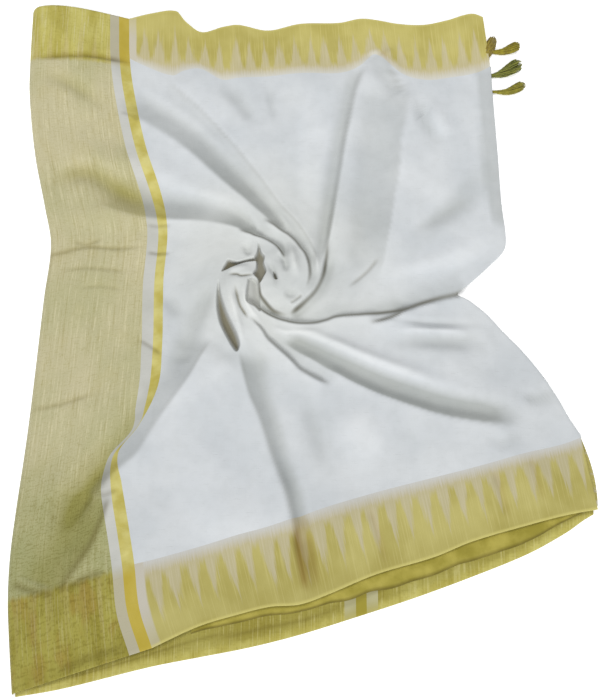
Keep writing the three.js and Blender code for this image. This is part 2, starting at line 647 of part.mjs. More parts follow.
// The origin is the middle of the box, on the floor
const box = new THREE.Box3().setFromObject(saree);
const middle = box.getCenter(new THREE.Vector3());
saree.position.set(-middle.x, -middle.y, -box.min.z);

export default saree;
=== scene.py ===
import math

import bpy
import numpy as np
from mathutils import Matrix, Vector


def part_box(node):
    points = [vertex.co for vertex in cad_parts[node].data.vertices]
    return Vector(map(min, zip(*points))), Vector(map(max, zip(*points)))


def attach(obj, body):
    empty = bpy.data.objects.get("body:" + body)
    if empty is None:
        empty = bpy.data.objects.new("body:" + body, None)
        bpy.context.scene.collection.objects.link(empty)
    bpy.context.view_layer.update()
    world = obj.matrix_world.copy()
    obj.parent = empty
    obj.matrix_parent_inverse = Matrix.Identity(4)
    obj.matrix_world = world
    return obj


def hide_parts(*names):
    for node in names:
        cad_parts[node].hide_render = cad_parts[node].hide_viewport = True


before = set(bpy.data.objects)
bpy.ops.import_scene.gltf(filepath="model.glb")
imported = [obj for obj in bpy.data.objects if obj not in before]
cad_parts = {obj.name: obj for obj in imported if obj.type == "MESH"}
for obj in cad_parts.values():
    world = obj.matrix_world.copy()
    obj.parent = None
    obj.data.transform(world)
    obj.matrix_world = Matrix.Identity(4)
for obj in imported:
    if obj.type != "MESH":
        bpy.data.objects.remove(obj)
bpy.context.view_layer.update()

# ---------------------------------------------------------------------------------------------------
# View and light: a camera well above the cloth, a plain pale floor, and soft light from overhead with a
# low, broad light from the near side, so that the folds read.
SWIRL = (-51.0, 99.0)  # the eye of the rose in the cloth's own plan, in millimetres
swirl_low, swirl_high = (np.array(corner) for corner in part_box("swirl"))
shift = (swirl_low + swirl_high) / 2 - np.array([*SWIRL, 0]) / 1000
shift[2] = 0
MM = 0.001

CAMERA_TILT = math.radians(70.7)
CAMERA_AWAY = 1.72
HALF_VIEW = math.radians(17)
camera_data = bpy.data.cameras.new("camera")
camera_data.sensor_fit = "VERTICAL"
camera_data.sensor_height = 36
camera_data.lens = 18 / math.tan(HALF_VIEW)
camera = bpy.data.objects.new("camera", camera_data)
camera.location = (
    shift[0],
    shift[1] - CAMERA_AWAY * math.cos(CAMERA_TILT),
    CAMERA_AWAY * math.sin(CAMERA_TILT),
)
camera.rotation_euler = (math.pi / 2 - CAMERA_TILT, 0, 0)
bpy.context.scene.collection.objects.link(camera)
bpy.context.scene.camera = camera
bpy.context.scene.view_settings.view_transform = "Standard"


class Value:
    """A socket of a material, so that shader maths reads as plain arithmetic."""

    def __init__(self, tree, socket):
        self.tree = tree
        self.socket = socket

    def maths(self, operation, *terms):
        node = self.tree.nodes.new("ShaderNodeMath")
        node.operation = operation
        for k, term in enumerate(terms):
            if isinstance(term, Value):
                self.tree.links.new(term.socket, node.inputs[k])
            else:
                node.inputs[k].default_value = term
        return Value(self.tree, node.outputs[0])

    def __add__(self, other):
        return self.maths("ADD", self, other)

    __radd__ = __add__

    def __mul__(self, other):
        return self.maths("MULTIPLY", self, other)

    __rmul__ = __mul__

    def __sub__(self, other):
        return self.maths("SUBTRACT", self, other)

    def __rsub__(self, other):
        return self.maths("SUBTRACT", other, self)

    def __truediv__(self, other):
        return self.maths("DIVIDE", self, other)

    def __pow__(self, other):
        return self.maths("POWER", self, other)

    def __abs__(self):
        return self.maths("ABSOLUTE", self)

    def fraction(self):
        return self.maths("FRACT", self)

    def least(self, other):
        return self.maths("MINIMUM", self, other)

    def most(self, other):
        return self.maths("MAXIMUM", self, other)

    def between(self, low, high):
        """0 below low, 1 above high, and a soft step in between."""
        share = ((self - low) / (high - low)).most(0).least(1)
        return share * share * (3 - 2 * share)


class Finish:
    """A material in the making."""

    def __init__(self, name, roughness, sheen=0.0):
        self.material = bpy.data.materials.new(name)
        self.material.use_nodes = True
        self.tree = self.material.node_tree
        self.tree.nodes.clear()
        self.surface = self.tree.nodes.new("ShaderNodeBsdfPrincipled")
        self.surface.inputs["Roughness"].default_value = roughness
        self.surface.inputs["Specular IOR Level"].default_value = 0.25
        self.surface.inputs["Sheen Weight"].default_value = sheen
        self.surface.inputs["Sheen Roughness"].default_value = 0.5
        out = self.tree.nodes.new("ShaderNodeOutputMaterial")
        self.tree.links.new(self.surface.outputs[0], out.inputs[0])

    def node(self, kind, settings=None, sockets=None, output=0):
        made = self.tree.nodes.new(kind)
        for key, value in (settings or {}).items():
            setattr(made, key, value)
        for key, value in (sockets or {}).items():
            if isinstance(value, Value):
                self.tree.links.new(value.socket, made.inputs[key])
            else:
                made.inputs[key].default_value = value
        return Value(self.tree, made.outputs[output])

    def mark(self, name):
        return self.node("ShaderNodeAttribute", {"attribute_name": name}, output=2)

    def along_weave(self):
        """The cloth's own coordinates in metres: along its length, and across it."""
        weave = self.node("ShaderNodeUVMap", {"uv_map": "weave"})
        return [self.node("ShaderNodeSeparateXYZ", sockets={0: weave}, output=k) for k in (0, 1)]

    def noise(self, u, v, scale, detail=2.0, w=0.0):
        spot = self.node("ShaderNodeCombineXYZ", sockets={0: u, 1: v, 2: w})
        return self.node("ShaderNodeTexNoise", None, {"Vector": spot, "Scale": scale, "Detail": detail})

    def shaded_in_folds(self, colour, hollow_tone, seam_tone, shade_offset=0):
        """The colour with painted shade in the hollows of the folds and along their crease lines."""
        hollow = self.mark("hollow") + shade_offset
        colour = self.darken(colour, hollow.most(0).least(1), hollow_tone)
        return self.darken(colour, self.mark("seam").least(1), seam_tone)

    def blend(self, share, low, high):
        """From colour low to colour high; a colour is a socket or three numbers."""
        colours = [c if isinstance(c, Value) else (*c, 1) for c in (low, high)]
        settings = {"data_type": "RGBA"}
        return self.node("ShaderNodeMix", settings, {0: share, 6: colours[0], 7: colours[1]}, 2)

    def darken(self, colour, share, shade):
        """The colour times a shade, as much as share says."""
        settings = {"data_type": "RGBA", "blend_type": "MULTIPLY"}
        return self.node("ShaderNodeMix", settings, {0: share, 6: colour, 7: (*shade, 1)}, 2)

    def done(self, colour, height=None, distance=0.0004, strength=0.6):
        self.tree.links.new(colour.socket, self.surface.inputs["Base Color"])
        if height is not None:
            sockets = {"Height": height, "Distance": distance, "Strength": strength}
            normal = self.node("ShaderNodeBump", None, sockets)
            self.tree.links.new(normal.socket, self.surface.inputs["Normal"])
        return self.material


def tone(red, green, blue):
    """A colour given as 0 to 255 on a screen, as the shader wants it."""
    parts = (np.array([red, green, blue]) / 255.0 + 0.055) / 1.055
    return tuple(float(p) for p in parts**2.4)


FLOOR = 6.0  # metres from its middle to its sides
floor_mesh = bpy.data.meshes.new("floor")
floor_mesh.from_pydata(
    [(-FLOOR, -FLOOR, 0), (FLOOR, -FLOOR, 0), (FLOOR, FLOOR, 0), (-FLOOR, FLOOR, 0)], [], [(0, 1, 2, 3)]
)
floor = bpy.data.objects.new("floor", floor_mesh)
bpy.context.scene.collection.objects.link(floor)
floor_finish = Finish("pale_floor", roughness=0.8)
floor_coords = floor_finish.node("ShaderNodeTexCoord", output=3)
floor_grain = floor_finish.node("ShaderNodeTexNoise", None, {"Vector": floor_coords, "Scale": 3.0})
floor_mesh.materials.append(
    floor_finish.done(floor_finish.blend(floor_grain, (0.93, 0.93, 0.93), (0.95, 0.95, 0.95)))
)
floor_finish.surface.inputs["Emission Color"].default_value = (1, 1, 1, 1)
floor_finish.surface.inputs["Emission Strength"].default_value = 0.28

LIGHTS = (  # name, kind, place it comes from, size (metres, or degrees for the sun), strength
    ("overhead", "AREA", (0.3, 0.5, 3.0), 1.6, 56),
    ("window", "SUN", (-0.35, -1.35, 0.95), 20, 2.4),
)
for name, kind, place, size, strength in LIGHTS:
    lamp = bpy.data.lights.new(name, kind)
    lamp.energy = strength
    if kind == "SUN":
        lamp.angle = math.radians(size)
    else:
        lamp.size = size
    lamp_object = bpy.data.objects.new(name, lamp)
    lamp_object.location = place
    lamp_object.rotation_euler = (
        math.atan2(math.hypot(place[0], place[1]), place[2]),
        0,
        math.atan2(place[1], place[0]) + math.pi / 2,
    )
    bpy.context.scene.collection.objects.link(lamp_object)
sky = bpy.data.worlds.new("sky")
sky.use_nodes = True
sky.node_tree.nodes["Background"].inputs[0].default_value = (0.95, 0.97, 1.0, 1)
sky.node_tree.nodes["Background"].inputs[1].default_value = 0.28
bpy.context.scene.world = sky

# ---------------------------------------------------------------------------------------------------
# Pallu: the end panel of the saree, woven in beige with fine cream and dark lines and the two borders
# running through it. It lies flat at the left and is turned under along its left edge.
CLOTH = 2.0  # thickness of the cloth, in millimetres as in the solid parts
REST = 0.8  # the least gap between the cloth and the hidden layers
STACK = 8.0  # height of the hidden layers
LOFT_REACH = 110.0  # nearer the outline than this the cloth comes down
DOME_RISE = 17.0  # the heap under the rose
DOME_REACH = 92.0
FOLD_RADIUS = 12.0  # of the folded edge at the left
BOTTOM_SHARE = 0.115  # share of the width where the bottom border ends
TOP_SHARE = 0.93  # and where the top border starts
TOP_HEM_BULGE = 15.0  # the corner at the top hem bows out
BULGE_FROM = 0.85
BULGE_REACH = 0.15


def table(columns, text):
    """Named columns of numbers. Each row of them ends with a semicolon."""
    rows = [[float(part) for part in row.split()] for row in text.split(";")[:-1]]
    return {name: np.array(column) for name, column in zip(columns.split(), zip(*rows))}


# share is the way from the bottom hem to the top hem, edge the fold at the left, body the line where
# the white body begins
ACROSS = table(
    "share edge_x edge_y body_x body_y",
    """
    0 -392 -497 -203 -436; 0.06 -401 -432 -222 -384; 0.115 -408 -372 -231 -324;
    0.17 -410 -312 -241 -272; 0.23 -407 -246 -254 -210; 0.27 -404 -202 -262 -164;
    0.31 -401 -158 -234 -122; 0.36 -398 -103 -210 -66; 0.43 -395 -26 -205 0; 0.53 -391 83 -207 100;
    0.61 -387 171 -204 186; 0.67 -401 236 -215 245; 0.76 -424 331 -244 333; 0.86 -441 440 -267 430;
    0.93 -445 516 -278 497; 1 -447 593 -284 577;
    """,
)
TOP_BORDER = table(
    "x inner hem",
    """
    -284 497 577; -245 476 588; -206 463 592; -190 472 572; -163 477 551; -128 457 561; -102 459 565;
    -53 463 554; 0 468 567; 65 469 569; 100 486 577; 124 508 575; 163 470 567; 204 456 565; 244 462 574;
    286 473 587; 311 486 577;
    """,
)
BOTTOM_BORDER = table(
    "x inner hem",
    """
    -392 -350 -497; -326 -340 -477; -231 -324 -445; -141 -300 -406; -85 -283 -390; -42 -271 -380;
    0 -257 -377; 40 -243 -363; 106 -223 -336; 188 -202 -312; 243 -188 -290; 326 -164 -266;
    381 -150 -252; 426 -133 -244;
    """,
)
FREE_EDGE = table(
    "y x",
    """
    -138 408; -110 392; -78 377; -44 357; -7 330; 24 303; 52 280; 72 257; 84 238; 104 259; 134 291;
    158 313; 182 317; 236 314; 324 313; 443 311; 486 311;
    """,
)
TOP_CORNER = {"inner": 311, "hem": 304}
BOTTOM_CORNER = {"inner": 408, "hem": 424}


def through(rows, key, column):
    """A smooth line through one column of a table, as a function of its key column."""
    keys = rows[key]
    values = rows[column]
    slopes = np.empty_like(values)
    slopes[1:-1] = (values[2:] - values[:-2]) / (keys[2:] - keys[:-2])
    slopes[0] = (values[1] - values[0]) / (keys[1] - keys[0])
    slopes[-1] = (values[-1] - values[-2]) / (keys[-1] - keys[-2])

    def line(at):
        at = np.asarray(at, float)
        k = np.clip(np.searchsorted(keys, at) - 1, 0, len(keys) - 2)
        span = keys[k + 1] - keys[k]
        s = (at - keys[k]) / span
        return (
            values[k] * (2 * s**3 - 3 * s**2 + 1)
            + values[k + 1] * (3 * s**2 - 2 * s**3)
            + span * slopes[k] * (s**3 - 2 * s**2 + s)
            + span * slopes[k + 1] * (s**3 - s**2)
        )

    return line


edge_x, edge_y, body_x, body_y = (
    through(ACROSS, "share", column) for column in ("edge_x", "edge_y", "body_x", "body_y")
)
top_inner, top_hem = (through(TOP_BORDER, "x", column) for column in ("inner", "hem"))
bottom_inner, bottom_hem = (through(BOTTOM_BORDER, "x", column) for column in ("inner", "hem"))
free_edge = through(FREE_EDGE, "y", "x")


def ease(value):
    value = np.clip(value, 0, 1)
    return value**2 * (3 - 2 * value)


def pallu_width(share):
    return np.hypot(body_x(share) - edge_x(share), body_y(share) - edge_y(share))


def left_point(share, distance):
    """A point of the left part, at a distance from the line where the body begins."""
    across = distance / pallu_width(share)
    x = body_x(share) + (edge_x(share) - body_x(share)) * across
    y = body_y(share) + (edge_y(share) - body_y(share)) * across
    bulge = TOP_HEM_BULGE * np.sin(np.pi * np.clip(1 - across, 0, 1) ** 0.6)
    return np.stack([x, y + bulge * ease((share - BULGE_FROM) / BULGE_REACH)], -1)


def border_point(column, row, inner, hem, corner, share_at):
    """A point of a border: column runs along it, row from its hem to its inner line."""
    body_end = left_point(share_at(row), 0)
    start_inner = left_point(share_at(1.0), 0)
    start_hem = left_point(share_at(0.0), 0)
    inner_x = start_inner[0] + (corner["inner"] - start_inner[0]) * column
    hem_x = start_hem[0] + (corner["hem"] - start_hem[0]) * column
    x = hem_x + (inner_x - hem_x) * row
    y = hem(hem_x) * (1 - row) + inner(inner_x) * row
    straight_x = start_hem[0] + (start_inner[0] - start_hem[0]) * row
    end_y = hem(start_hem[0]) * (1 - row) + inner(start_inner[0]) * row
    near = (1 - column) ** 6  # the end at the bars follows the line where the body begins
    return np.stack([x + (body_end[..., 0] - straight_x) * near, y + (body_end[..., 1] - end_y) * near], -1)


def bottom_point(column, row):
    return border_point(column, row, bottom_inner, bottom_hem, BOTTOM_CORNER, lambda r: BOTTOM_SHARE * r)


def top_point(column, row):
    return border_point(
        column, row, top_inner, top_hem, TOP_CORNER, lambda r: 1 - (1 - TOP_SHARE) * r
    )


def free_point(share):
    low = bottom_point(np.array(1.0), np.array(1.0))
    high = top_point(np.array(1.0), np.array(1.0))
    y = low[1] + (high[1] - low[1]) * share
    x = free_edge(y)
    x = np.where(share == 0, low[0], np.where(share == 1, high[0], x))
    return np.stack([x, y], -1)


def folds(text):
    """Reads a table of folds. Each row has a name, the points of its course and its sizes, and ends
    with a semicolon."""
    rows = []
    for row in text.split(";")[:-1]:
        _, course, sizes = row.split(":")
        points = [tuple(float(part) for part in point.split()) for point in course.split(",")]
        rows.append((points, *(float(size) for size in sizes.split())))
    return rows


# Soft folds of the top layer, each by its course from its outer end to the rose. rise is above 0 on a
# ridge and below 0 in a trough. left and right are the half widths on its two sides, as seen going in,
# and tip is what is left of them at the inner end.
# name: course: rise left right tip
SOFT_FOLDS = folds(
    """
    first ridge: -420 328, -300 314, -200 278, -120 234, -60 198: 4 30 26 0.5;
    border shade: -130 463, -97 418, -66 368: -5 14 16 0.6;
    border line: -52 458, -46 418, -38 368: -3 8 9 0.6;
    top ridge: 30 468, 26 378, 18 288, 16 218: 4 30 30 0.6;
    short trough: 180 440, 195 396, 206 364, 226 326: -5 11 9 0.8;
    short ridge: 212 418, 226 378, 240 348: 4 16 12 0.8;
    corner trough: 318 324, 284 288, 246 240, 207 201, 150 158: -5 24 20 0.6;
    lobe ridge: 318 198, 260 163, 200 136, 110 106: 5 26 22 0.5;
    second lobe: 300 260, 230 224, 170 184: -4 14 10 0.6;
    upper shelf: 290 36, 206 37, 120 40: -3 6 6 0.7;
    lower shelf: 285 10, 240 7, 190 7, 105 4: -6 13 14 0.8;
    shelf ridge: 262 24, 206 24, 130 24: 4 6 6 0.8;
    bright ridge: 290 -94, 200 -58, 150 -38, 100 -19, 50 2, 0 20, -35 34: 7 11 13 0.7;
    corner dents: 325 -74, 352 -80, 392 -64: -6 8 9 1;
    corner dent low: 262 -142, 300 -148, 330 -122: -3 9 10 1;
    green band: 42 -207, 28 -152, 18 -112, 8 -57: -4 15 15 0.8;
    body hump: 130 -172, 90 -132, 60 -92: 4 40 36 0.6;
    left hump: -70 -332, -120 -232, -150 -122: 4 50 50 0.6;
    smudge: -210 88, -194 66, -178 38: -4 10 11 1;
    second smudge: -196 -26, -176 -18, -160 -24: -2 9 9 1;
    rose shadow: -190 -42, -160 28, -143 68, -128 108: -6 20 16 0.6;
    pallu shade: -410 262, -375 284, -339 292, -299 274, -250 240, -210 214: -9 15 18 1;
    pallu shade high: -436 478, -387 460, -348 434, -300 396: -5 13 12 1;
    brown fold: -1 -256, 3 -293, 10 -329, 19 -376: -11 11 9 1;
    pallu dent: -340 -285, -323 -251, -302 -213, -281 -183, -260 -155: -9 10 16 1;
    pallu ridge: -400 215, -320 216, -240 196: 3 22 20 1;
    """
)
# Creases: thin lines where the cloth is nipped in. line is how dark the painted shade along each crease is.
# name: course: depth width line
CREASES = folds(
    """
    band end: 121 143, 103 120, 72 91: 3 3 0.4;
    pallu line high: -404 148, -372 152, -330 162, -280 157, -225 161: 2 2.5 0.45;
    pallu line knot: -352 174, -330 166, -300 176: 2 3 0.35;
    pallu line middle: -372 124, -330 126, -290 122, -262 117: 1.2 2.5 0.3;
    pallu line low: -340 92, -300 95, -262 86: 1 3 0.2;
    pallu crease: -402 -100, -350 -90, -300 -74: 1.2 2.5 0.35;
    border edge: -452 503, -393 504, -344 502, -308 496, -268 488: 3 2.5 0.7;
    bar crease top: -290 400, -270 390, -254 378: 1.4 3 0.25;
    bar crease high: -240 196, -216 193, -196 195: 1.4 3 0.3;
    bar crease middle: -236 150, -216 147, -196 148: 1.4 3 0.55;
    bar crease low: -246 12, -220 -4, -204 -16: 1.6 3 0.45;
    bar crease end: -290 -224, -276 -226, -258 -218: 1.2 3 0.35;
    corner crease: -406 -348, -375 -359, -333 -365: 2.4 3 0.6;
    corner wrinkle: -330 -362, -300 -343, -268 -332: 2.4 3 0.6;
    second wrinkle: -337 -471, -287 -450, -235 -434: 2 3 0.5;
    brown line: -6 -262, -3 -297, 3 -332, 10 -365: 3 3 0.7;
    brown line right: 11 -276, 17 -307, 25 -360: 2 3 0.3;
    border dent: 122 -330, 110 -280, 96 -240: 2 5 0.25;
    border dent far: 296 -262, 288 -220, 276 -184: 3 5 0.2;
    border dent last: 350 -240, 340 -200, 330 -166: 2 4 0.15;
    """
)
# Laps: the cloth stands up to a crest and drops beside it, over the width drop, to the left going in
# when that is above 0 and to the right when below. rise is the height of the crest, sink the depth at the
# foot, back how far the crest slopes away behind, foot how far the hollow goes on past the foot, and tip
# what is left of the widths at the inner end. shade is how dark the painted shade in the hollow is, line
# how dark the painted line of the crease is, and at where that runs, from 0 at the crest to 1 at the foot.
# name: course: rise sink drop back foot tip shade line at
LAPS = folds(
    """
    first lap: -330 234, -262 212, -205 204, -150 201, -110 192, -85 182, -66 176:
        6 6 36 34 14 0.2 0.55 0 0;
    second lap: -300 413, -250 378, -205 348, -170 318, -140 289, -110 260, -85 237, -60 213, -40 194,
        -22 180: 7 7 33 40 10 0.2 0.6 0 0;
    thin lap: -215 453, -195 438, -150 393, -100 333, -60 278, -30 233, -5 203, 12 176, 24 148, 26 118:
        2 2 -10 40 10 0.5 0.2 0.15 0.3;
    narrow lap: 112 488, 95 448, 84 398, 74 348, 66 298, 58 248, 50 198, 43 158, 38 128:
        6 6 -10 24 12 0.8 0.6 0.12 0.3;
    broad lap: 176 458, 172 398, 161 348, 157 298, 148 248, 140 198, 132 158, 120 104:
        6 6 -52 24 20 0.72 0.4 0.06 0.03;
    notch: 138 518, 152 476, 170 430: 3 5 -18 14 14 0.5 0.4 0.2 0.2;
    edge strip: 286 498, 287 438, 288 378, 288 298, 294 238, 303 188: 1.5 6 20 60 30 1 0.45 0 0;
    overlap: 262 91, 237 81, 215 76, 185 66, 160 55, 138 42, 102 31: 5 8 -5 20 26 1 0.45 0.95 0.6;
    lower arc: 172 64, 150 55, 110 49, 60 43, 40 36, 20 31, -5 30, -28 35, -42 41, -56 49, -68 59, -80 68:
        5 7 -5 18 20 0.5 0.45 0.9 0.6;
    long trough: 330 -126, 250 -116, 200 -105, 150 -88, 100 -68, 50 -42, 20 -24, 0 -13, -28 4:
        3 11 -19 30 14 0.6 1.5 0 0;
    crisp lap: 48 -66, 20 -52, 0 -40, -10 -30, -20 -20, -40 -2, -50 8, -60 23, -80 43:
        5 6 -6 20 22 0.8 0.4 0.35 0.5;
    downward lap: -4 -292, -12 -260, -20 -227, -30 -199, -40 -172, -50 -142, -60 -112, -75 -77, -85 -42,
        -93 -7: 5 7 -15 40 8 1.8 0.75 0.15 0.1;
    diagonal lap: -345 -302, -300 -240, -268 -196, -240 -172, -225 -149, -205 -114, -185 -84, -165 -54,
        -147 -20, -130 10: 6 6 34 44 14 1 0.36 0.1 0.03;
    pallu fold: -334 -368, -325 -347, -310 -323, -294 -297, -280 -262, -270 -228:
        4 7 34 12 26 1 0.8 0.8 0;
    """
)

SOFT_FADE = 0.4  # share of its course over which a soft fold dies away at each end
STEPS = 7  # straight runs between two points of a course


def course_line(course):
    """A smooth line through the points of a course."""
    points = np.array(course, float)
    padded = np.vstack([2 * points[0] - points[1], points, 2 * points[-1] - points[-2]])
    line = []
    for k in range(len(points) - 1):
        a, b, c, d = padded[k : k + 4]
        for step in range(STEPS):
            s = step / STEPS
            square = (2 * a - 5 * b + 4 * c - d) * s**2
            cube = (3 * b - a - 3 * c + d) * s**3
            line.append(0.5 * (2 * b + (c - a) * s + square + cube))
    line.append(points[-1])
    return np.array(line)


def beside(points, line):
    """How far each point lies to the left of a line, and its place on it from 0 to 1."""
    nearest = np.full(len(points), np.inf)
    place = np.zeros(len(points))
    side = np.zeros(len(points))
    count = len(line) - 1
    for k in range(count):
        run = line[k + 1] - line[k]
        from_start = points - line[k]
        share = np.clip(from_start @ run / (run @ run), 0, 1)
        away = np.hypot(*(from_start - share[:, None] * run).T)
        closer = away < nearest
        nearest[closer] = away[closer]
        place[closer] = (k + share[closer]) / count
        side[closer] = np.sign(run[0] * from_start[closer, 1] - run[1] * from_start[closer, 0])
    return nearest * side, place


draw = np.random.default_rng(11)
lattice = draw.random((256, 256))


def rumple(x, y, pitch, seed):
    """Soft unevenness from -1 to 1 with humps about a pitch apart."""
    u = x / pitch + 31.7 * seed
    v = y / pitch + 12.9 * seed
    i = np.floor(u).astype(int)
    j = np.floor(v).astype(int)
    s = ease(u - i)
    t = ease(v - j)
    low = lattice[i % 256, j % 256] * (1 - s) + lattice[(i + 1) % 256, j % 256] * s
    high = lattice[i % 256, (j + 1) % 256] * (1 - s) + lattice[(i + 1) % 256, (j + 1) % 256] * s
    return 2 * (low * (1 - t) + high * t) - 1


def near_line(points, line, reach):
    return np.flatnonzero(np.all((points > line.min(0) - reach) & (points < line.max(0) + reach), axis=1))


def along_course(points, course, reach, fade):
    """The points near a course, how far each lies to its left, its place along it, and how full the
    fold is there."""
    line = course_line(course)
    spots = near_line(points, line, reach)
    away, place = beside(points[spots], line)
    return spots, away, place, ease(place / fade) * ease((1 - place) / fade)


FULL_SHADE = 14  # a fold this deep in millimetres is as dark as the painted shade of a hollow gets
LINE_WIDTH = (1.4, 0.008)  # a painted dark line's half width in the rose, and how it grows away from it


def soft_folds(points, rows, fade, marks):
    """Adds ridges and troughs to the rise, with painted shade in the troughs and painted highlight on the
    ridges, at each point.
    """
    for course, height, left, right, tip in rows:
        spots, away, place, full = along_course(points, course, 3 * max(left, right), fade)
        width = np.where(away > 0, left, right) * (1 - (1 - tip) * place)
        shape = np.exp(-((away / width) ** 2)) * full
        marks["rise"][spots] += height * shape
        marks["hollow"][spots] += -height / FULL_SHADE * shape


CREASE_FADE = 0.25


def line_width(points):
    """Half width of a painted dark line: fine in the rose and softer away from it."""
    return LINE_WIDTH[0] + LINE_WIDTH[1] * from_swirl(points)


def creases(points, rows, marks):
    """Adds nipped lines, which taper out at both ends, each with a painted dark line along it."""
    for course, depth, width, dark in rows:
        spots, away, _, full = along_course(points, course, 5 * width, CREASE_FADE)
        marks["rise"][spots] -= depth * np.exp(-np.abs(away) / width) * full
        seam = dark * np.exp(-((away / line_width(points[spots])) ** 2)) * full
        marks["seam"][spots] = np.maximum(marks["seam"][spots], seam)


FALL = 1.25  # how steeply the side of a lap leaves its crest
NARROWING = 2.5  # how late along its course a lap narrows
BACK_LIGHT = 0.12  # how much painted highlight lightens the back of a lap
CREST_MEAN = 0.85  # how full a lap is along its crest, and how far that wavers
CREST_SWING = 0.25
CREST_LENGTH = 60  # a course counts as this long for the waver, which has this pitch
CREST_PITCH = 11


def lap_profile(away, rise, sink, width, back, foot):
    """Height across a lap: up to its crest, down over its width, and on past its foot."""
    behind = rise * np.exp(np.minimum(away, 0) / back)
    falling = rise - (rise + sink) * (1 - (1 - np.clip(away / width, 0, 1)) ** FALL)
    past = np.exp(-((np.maximum(away - width, 0) / foot) ** 2))
    return np.where(away < 0, behind, np.where(away < width, falling, -sink * past))


def laps(points, rows, fade, marks):
    """Adds laps to the rise, their painted shade and highlight, and their painted dark lines at each point.
    """
    for course, rise, sink, drop, back, foot, tip, shade, dark, dark_at in rows:
        reach = 3 * max(abs(drop), back, foot)
        spots, away, place, full = along_course(points, course, reach, fade)
        away = away * math.copysign(1, drop)
        narrow = 1 - (1 - tip) * place**NARROWING
        width = abs(drop) * narrow
        waver = rumple(place * CREST_LENGTH, 0 * place, CREST_PITCH, rise + back)
        full = full * (CREST_MEAN + CREST_SWING * waver)
        half = line_width(points[spots])
        for offset in (-half, 0, half):  # a soft crest
            shape = lap_profile(away + offset, rise, sink, width, back * narrow, foot * narrow)
            marks["rise"][spots] += shape * full / 3
        past = np.exp(-((np.maximum(away - width, 0) / (foot * narrow)) ** 2))
        behind = np.exp(np.minimum(away, 0) / (back * narrow)) * (away < 0)
        hollow = shade * ease((away + half) / (2.5 * half)) * past - BACK_LIGHT * behind
        marks["hollow"][spots] += hollow * full
        from_line = away - dark_at * width
        seam = dark * np.exp(-((from_line / half) ** 2)) * full
        marks["seam"][spots] = np.maximum(marks["seam"][spots], seam)


def pits(points, openings, marks):
    """Sinks openings with steep walls, each by its closed outline, and paints shade into them."""
    for opening, depth, wall, dark in openings:
        loop = course_line((*opening, opening[0]))
        spots = near_line(points, loop, wall)
        inside = np.zeros(len(spots), bool)
        x, y = points[spots].T
        for (ax, ay), (bx, by) in zip(loop[:-1], loop[1:]):
            crossing = (ay > y) != (by > y)
            at = ax + (y - ay) * (bx - ax) / (by - ay if by != ay else 1)
            inside ^= crossing & (x < at)
        away, _ = beside(points[spots], loop)
        deep = ease((np.where(inside, 1, -1) * np.abs(away) + 0.3 * wall) / wall)
        marks["rise"][spots] -= depth * deep
        marks["seam"][spots] = np.maximum(marks["seam"][spots], dark * deep)


# Outline of the top layer, anticlockwise
OUTLINE_STEPS = 60
END_STEPS = 12
FREE_STEPS = 70
turns = np.linspace(0, 1, OUTLINE_STEPS)
outline = np.vstack(
    [
        left_point(np.zeros(END_STEPS), np.linspace(pallu_width(0), 0, END_STEPS, endpoint=False)),
        bottom_point(turns, 0 * turns),
        free_point(np.linspace(0, 1, FREE_STEPS)),
        top_point(turns[::-1], 0 * turns),
        left_point(np.ones(END_STEPS), np.linspace(0, pallu_width(1), END_STEPS + 1)[1:]),
        left_point(turns[::-1], pallu_width(turns[::-1]))[1:],
    ]
)


def outline_distance(points):
    """Distance of each point from the outline."""
    nearest = np.full(len(points), np.inf)
    for start, end in zip(outline, np.roll(outline, -1, axis=0)):
        run = end - start
        length = run @ run
        if length == 0:
            continue
        share = np.clip((points - start) @ run / length, 0, 1)
        nearest = np.minimum(nearest, np.hypot(*(points - start - share[:, None] * run).T))
    return nearest


def from_swirl(points):
    return np.hypot(points[:, 0] - SWIRL[0], points[:, 1] - SWIRL[1])


def layers_top(points):
    return STACK + DOME_RISE * np.exp(-((from_swirl(points) / DOME_REACH) ** 2))


# The rose: the bud lies right of the eye, wound round by the laps that come in from above, and the
# flat-topped pleat left of it. Between them the cloth goes down out of sight.
# The columns of its tables are those of the tables above.
ROSE_SOFT = folds(
    """
    bud dent: -24 82, -14 74, 2 78: -4 8 7 1;
    crown: -22 163, -12 143, -8 123, -4 99: 5 7 8 0.8;
    wound ridge: 2 175, 18 150, 26 125, 25 101: 3 5 5 0.8;
    wound trough: -30 145, -22 125, -20 107: -5 6 6 0.8;
    eye shadow: -50 133, -43 117, -37 101, -36 83: -4 5 5 0.8;
    gap shadow: -84 165, -80 150, -77 137: -4 9 8 0.5;
    pleat top: -112 114, -95 118, -72 121: 2 5 5 1;
    column ridge: -106 97, -103 70, -95 40, -88 15, -83 -17: 6 7 7 1;
    second column: -84 99, -84 79, -78 57, -64 39, -48 21: 4 5 5 1;
    under arc: 40 20, 0 15, -30 19, -52 31: 4 6 6 1;
    """
)
ROSE_CREASES = folds(
    """
    pleat line: -110 108, -96 108, -87 105, -66 109: 4 2.5 0.75;
    column crease: -98 93, -94 73, -90 59, -84 49, -76 37: 5 2.5 0.85;
    bud fold: 4 75, -5 67, -16 59: 3 2.5 0.4;
    """
)
ROSE_LAPS = folds(
    """
    outer lap: -98 183, -78 176, -66 172, -54 167, -40 158, -32 148, -22 129:
        5 8 5 14 12 0.7 0.5 0.95 0.5;
    outer band: -60 203, -45 194, -33 185, -20 177, -8 165, 0 153, 7 142, 12 125, 13 105, 7 81:
        4 5 4 12 10 0.8 0.4 0.7 0.5;
    rim of the bud: 41 175, 38 145, 36 130, 33 113, 27 95, 18 79, 5 65, -8 54, -18 47:
        5 8 6 14 10 0.7 0.5 0.85 0.5;
    side of the bud: -64 113, -60 96, -59 85, -57 74, -50 64, -42 55, -34 50, -16 45:
        5 6 -4 12 7 0.8 0.4 0.85 0.5;
    """
)
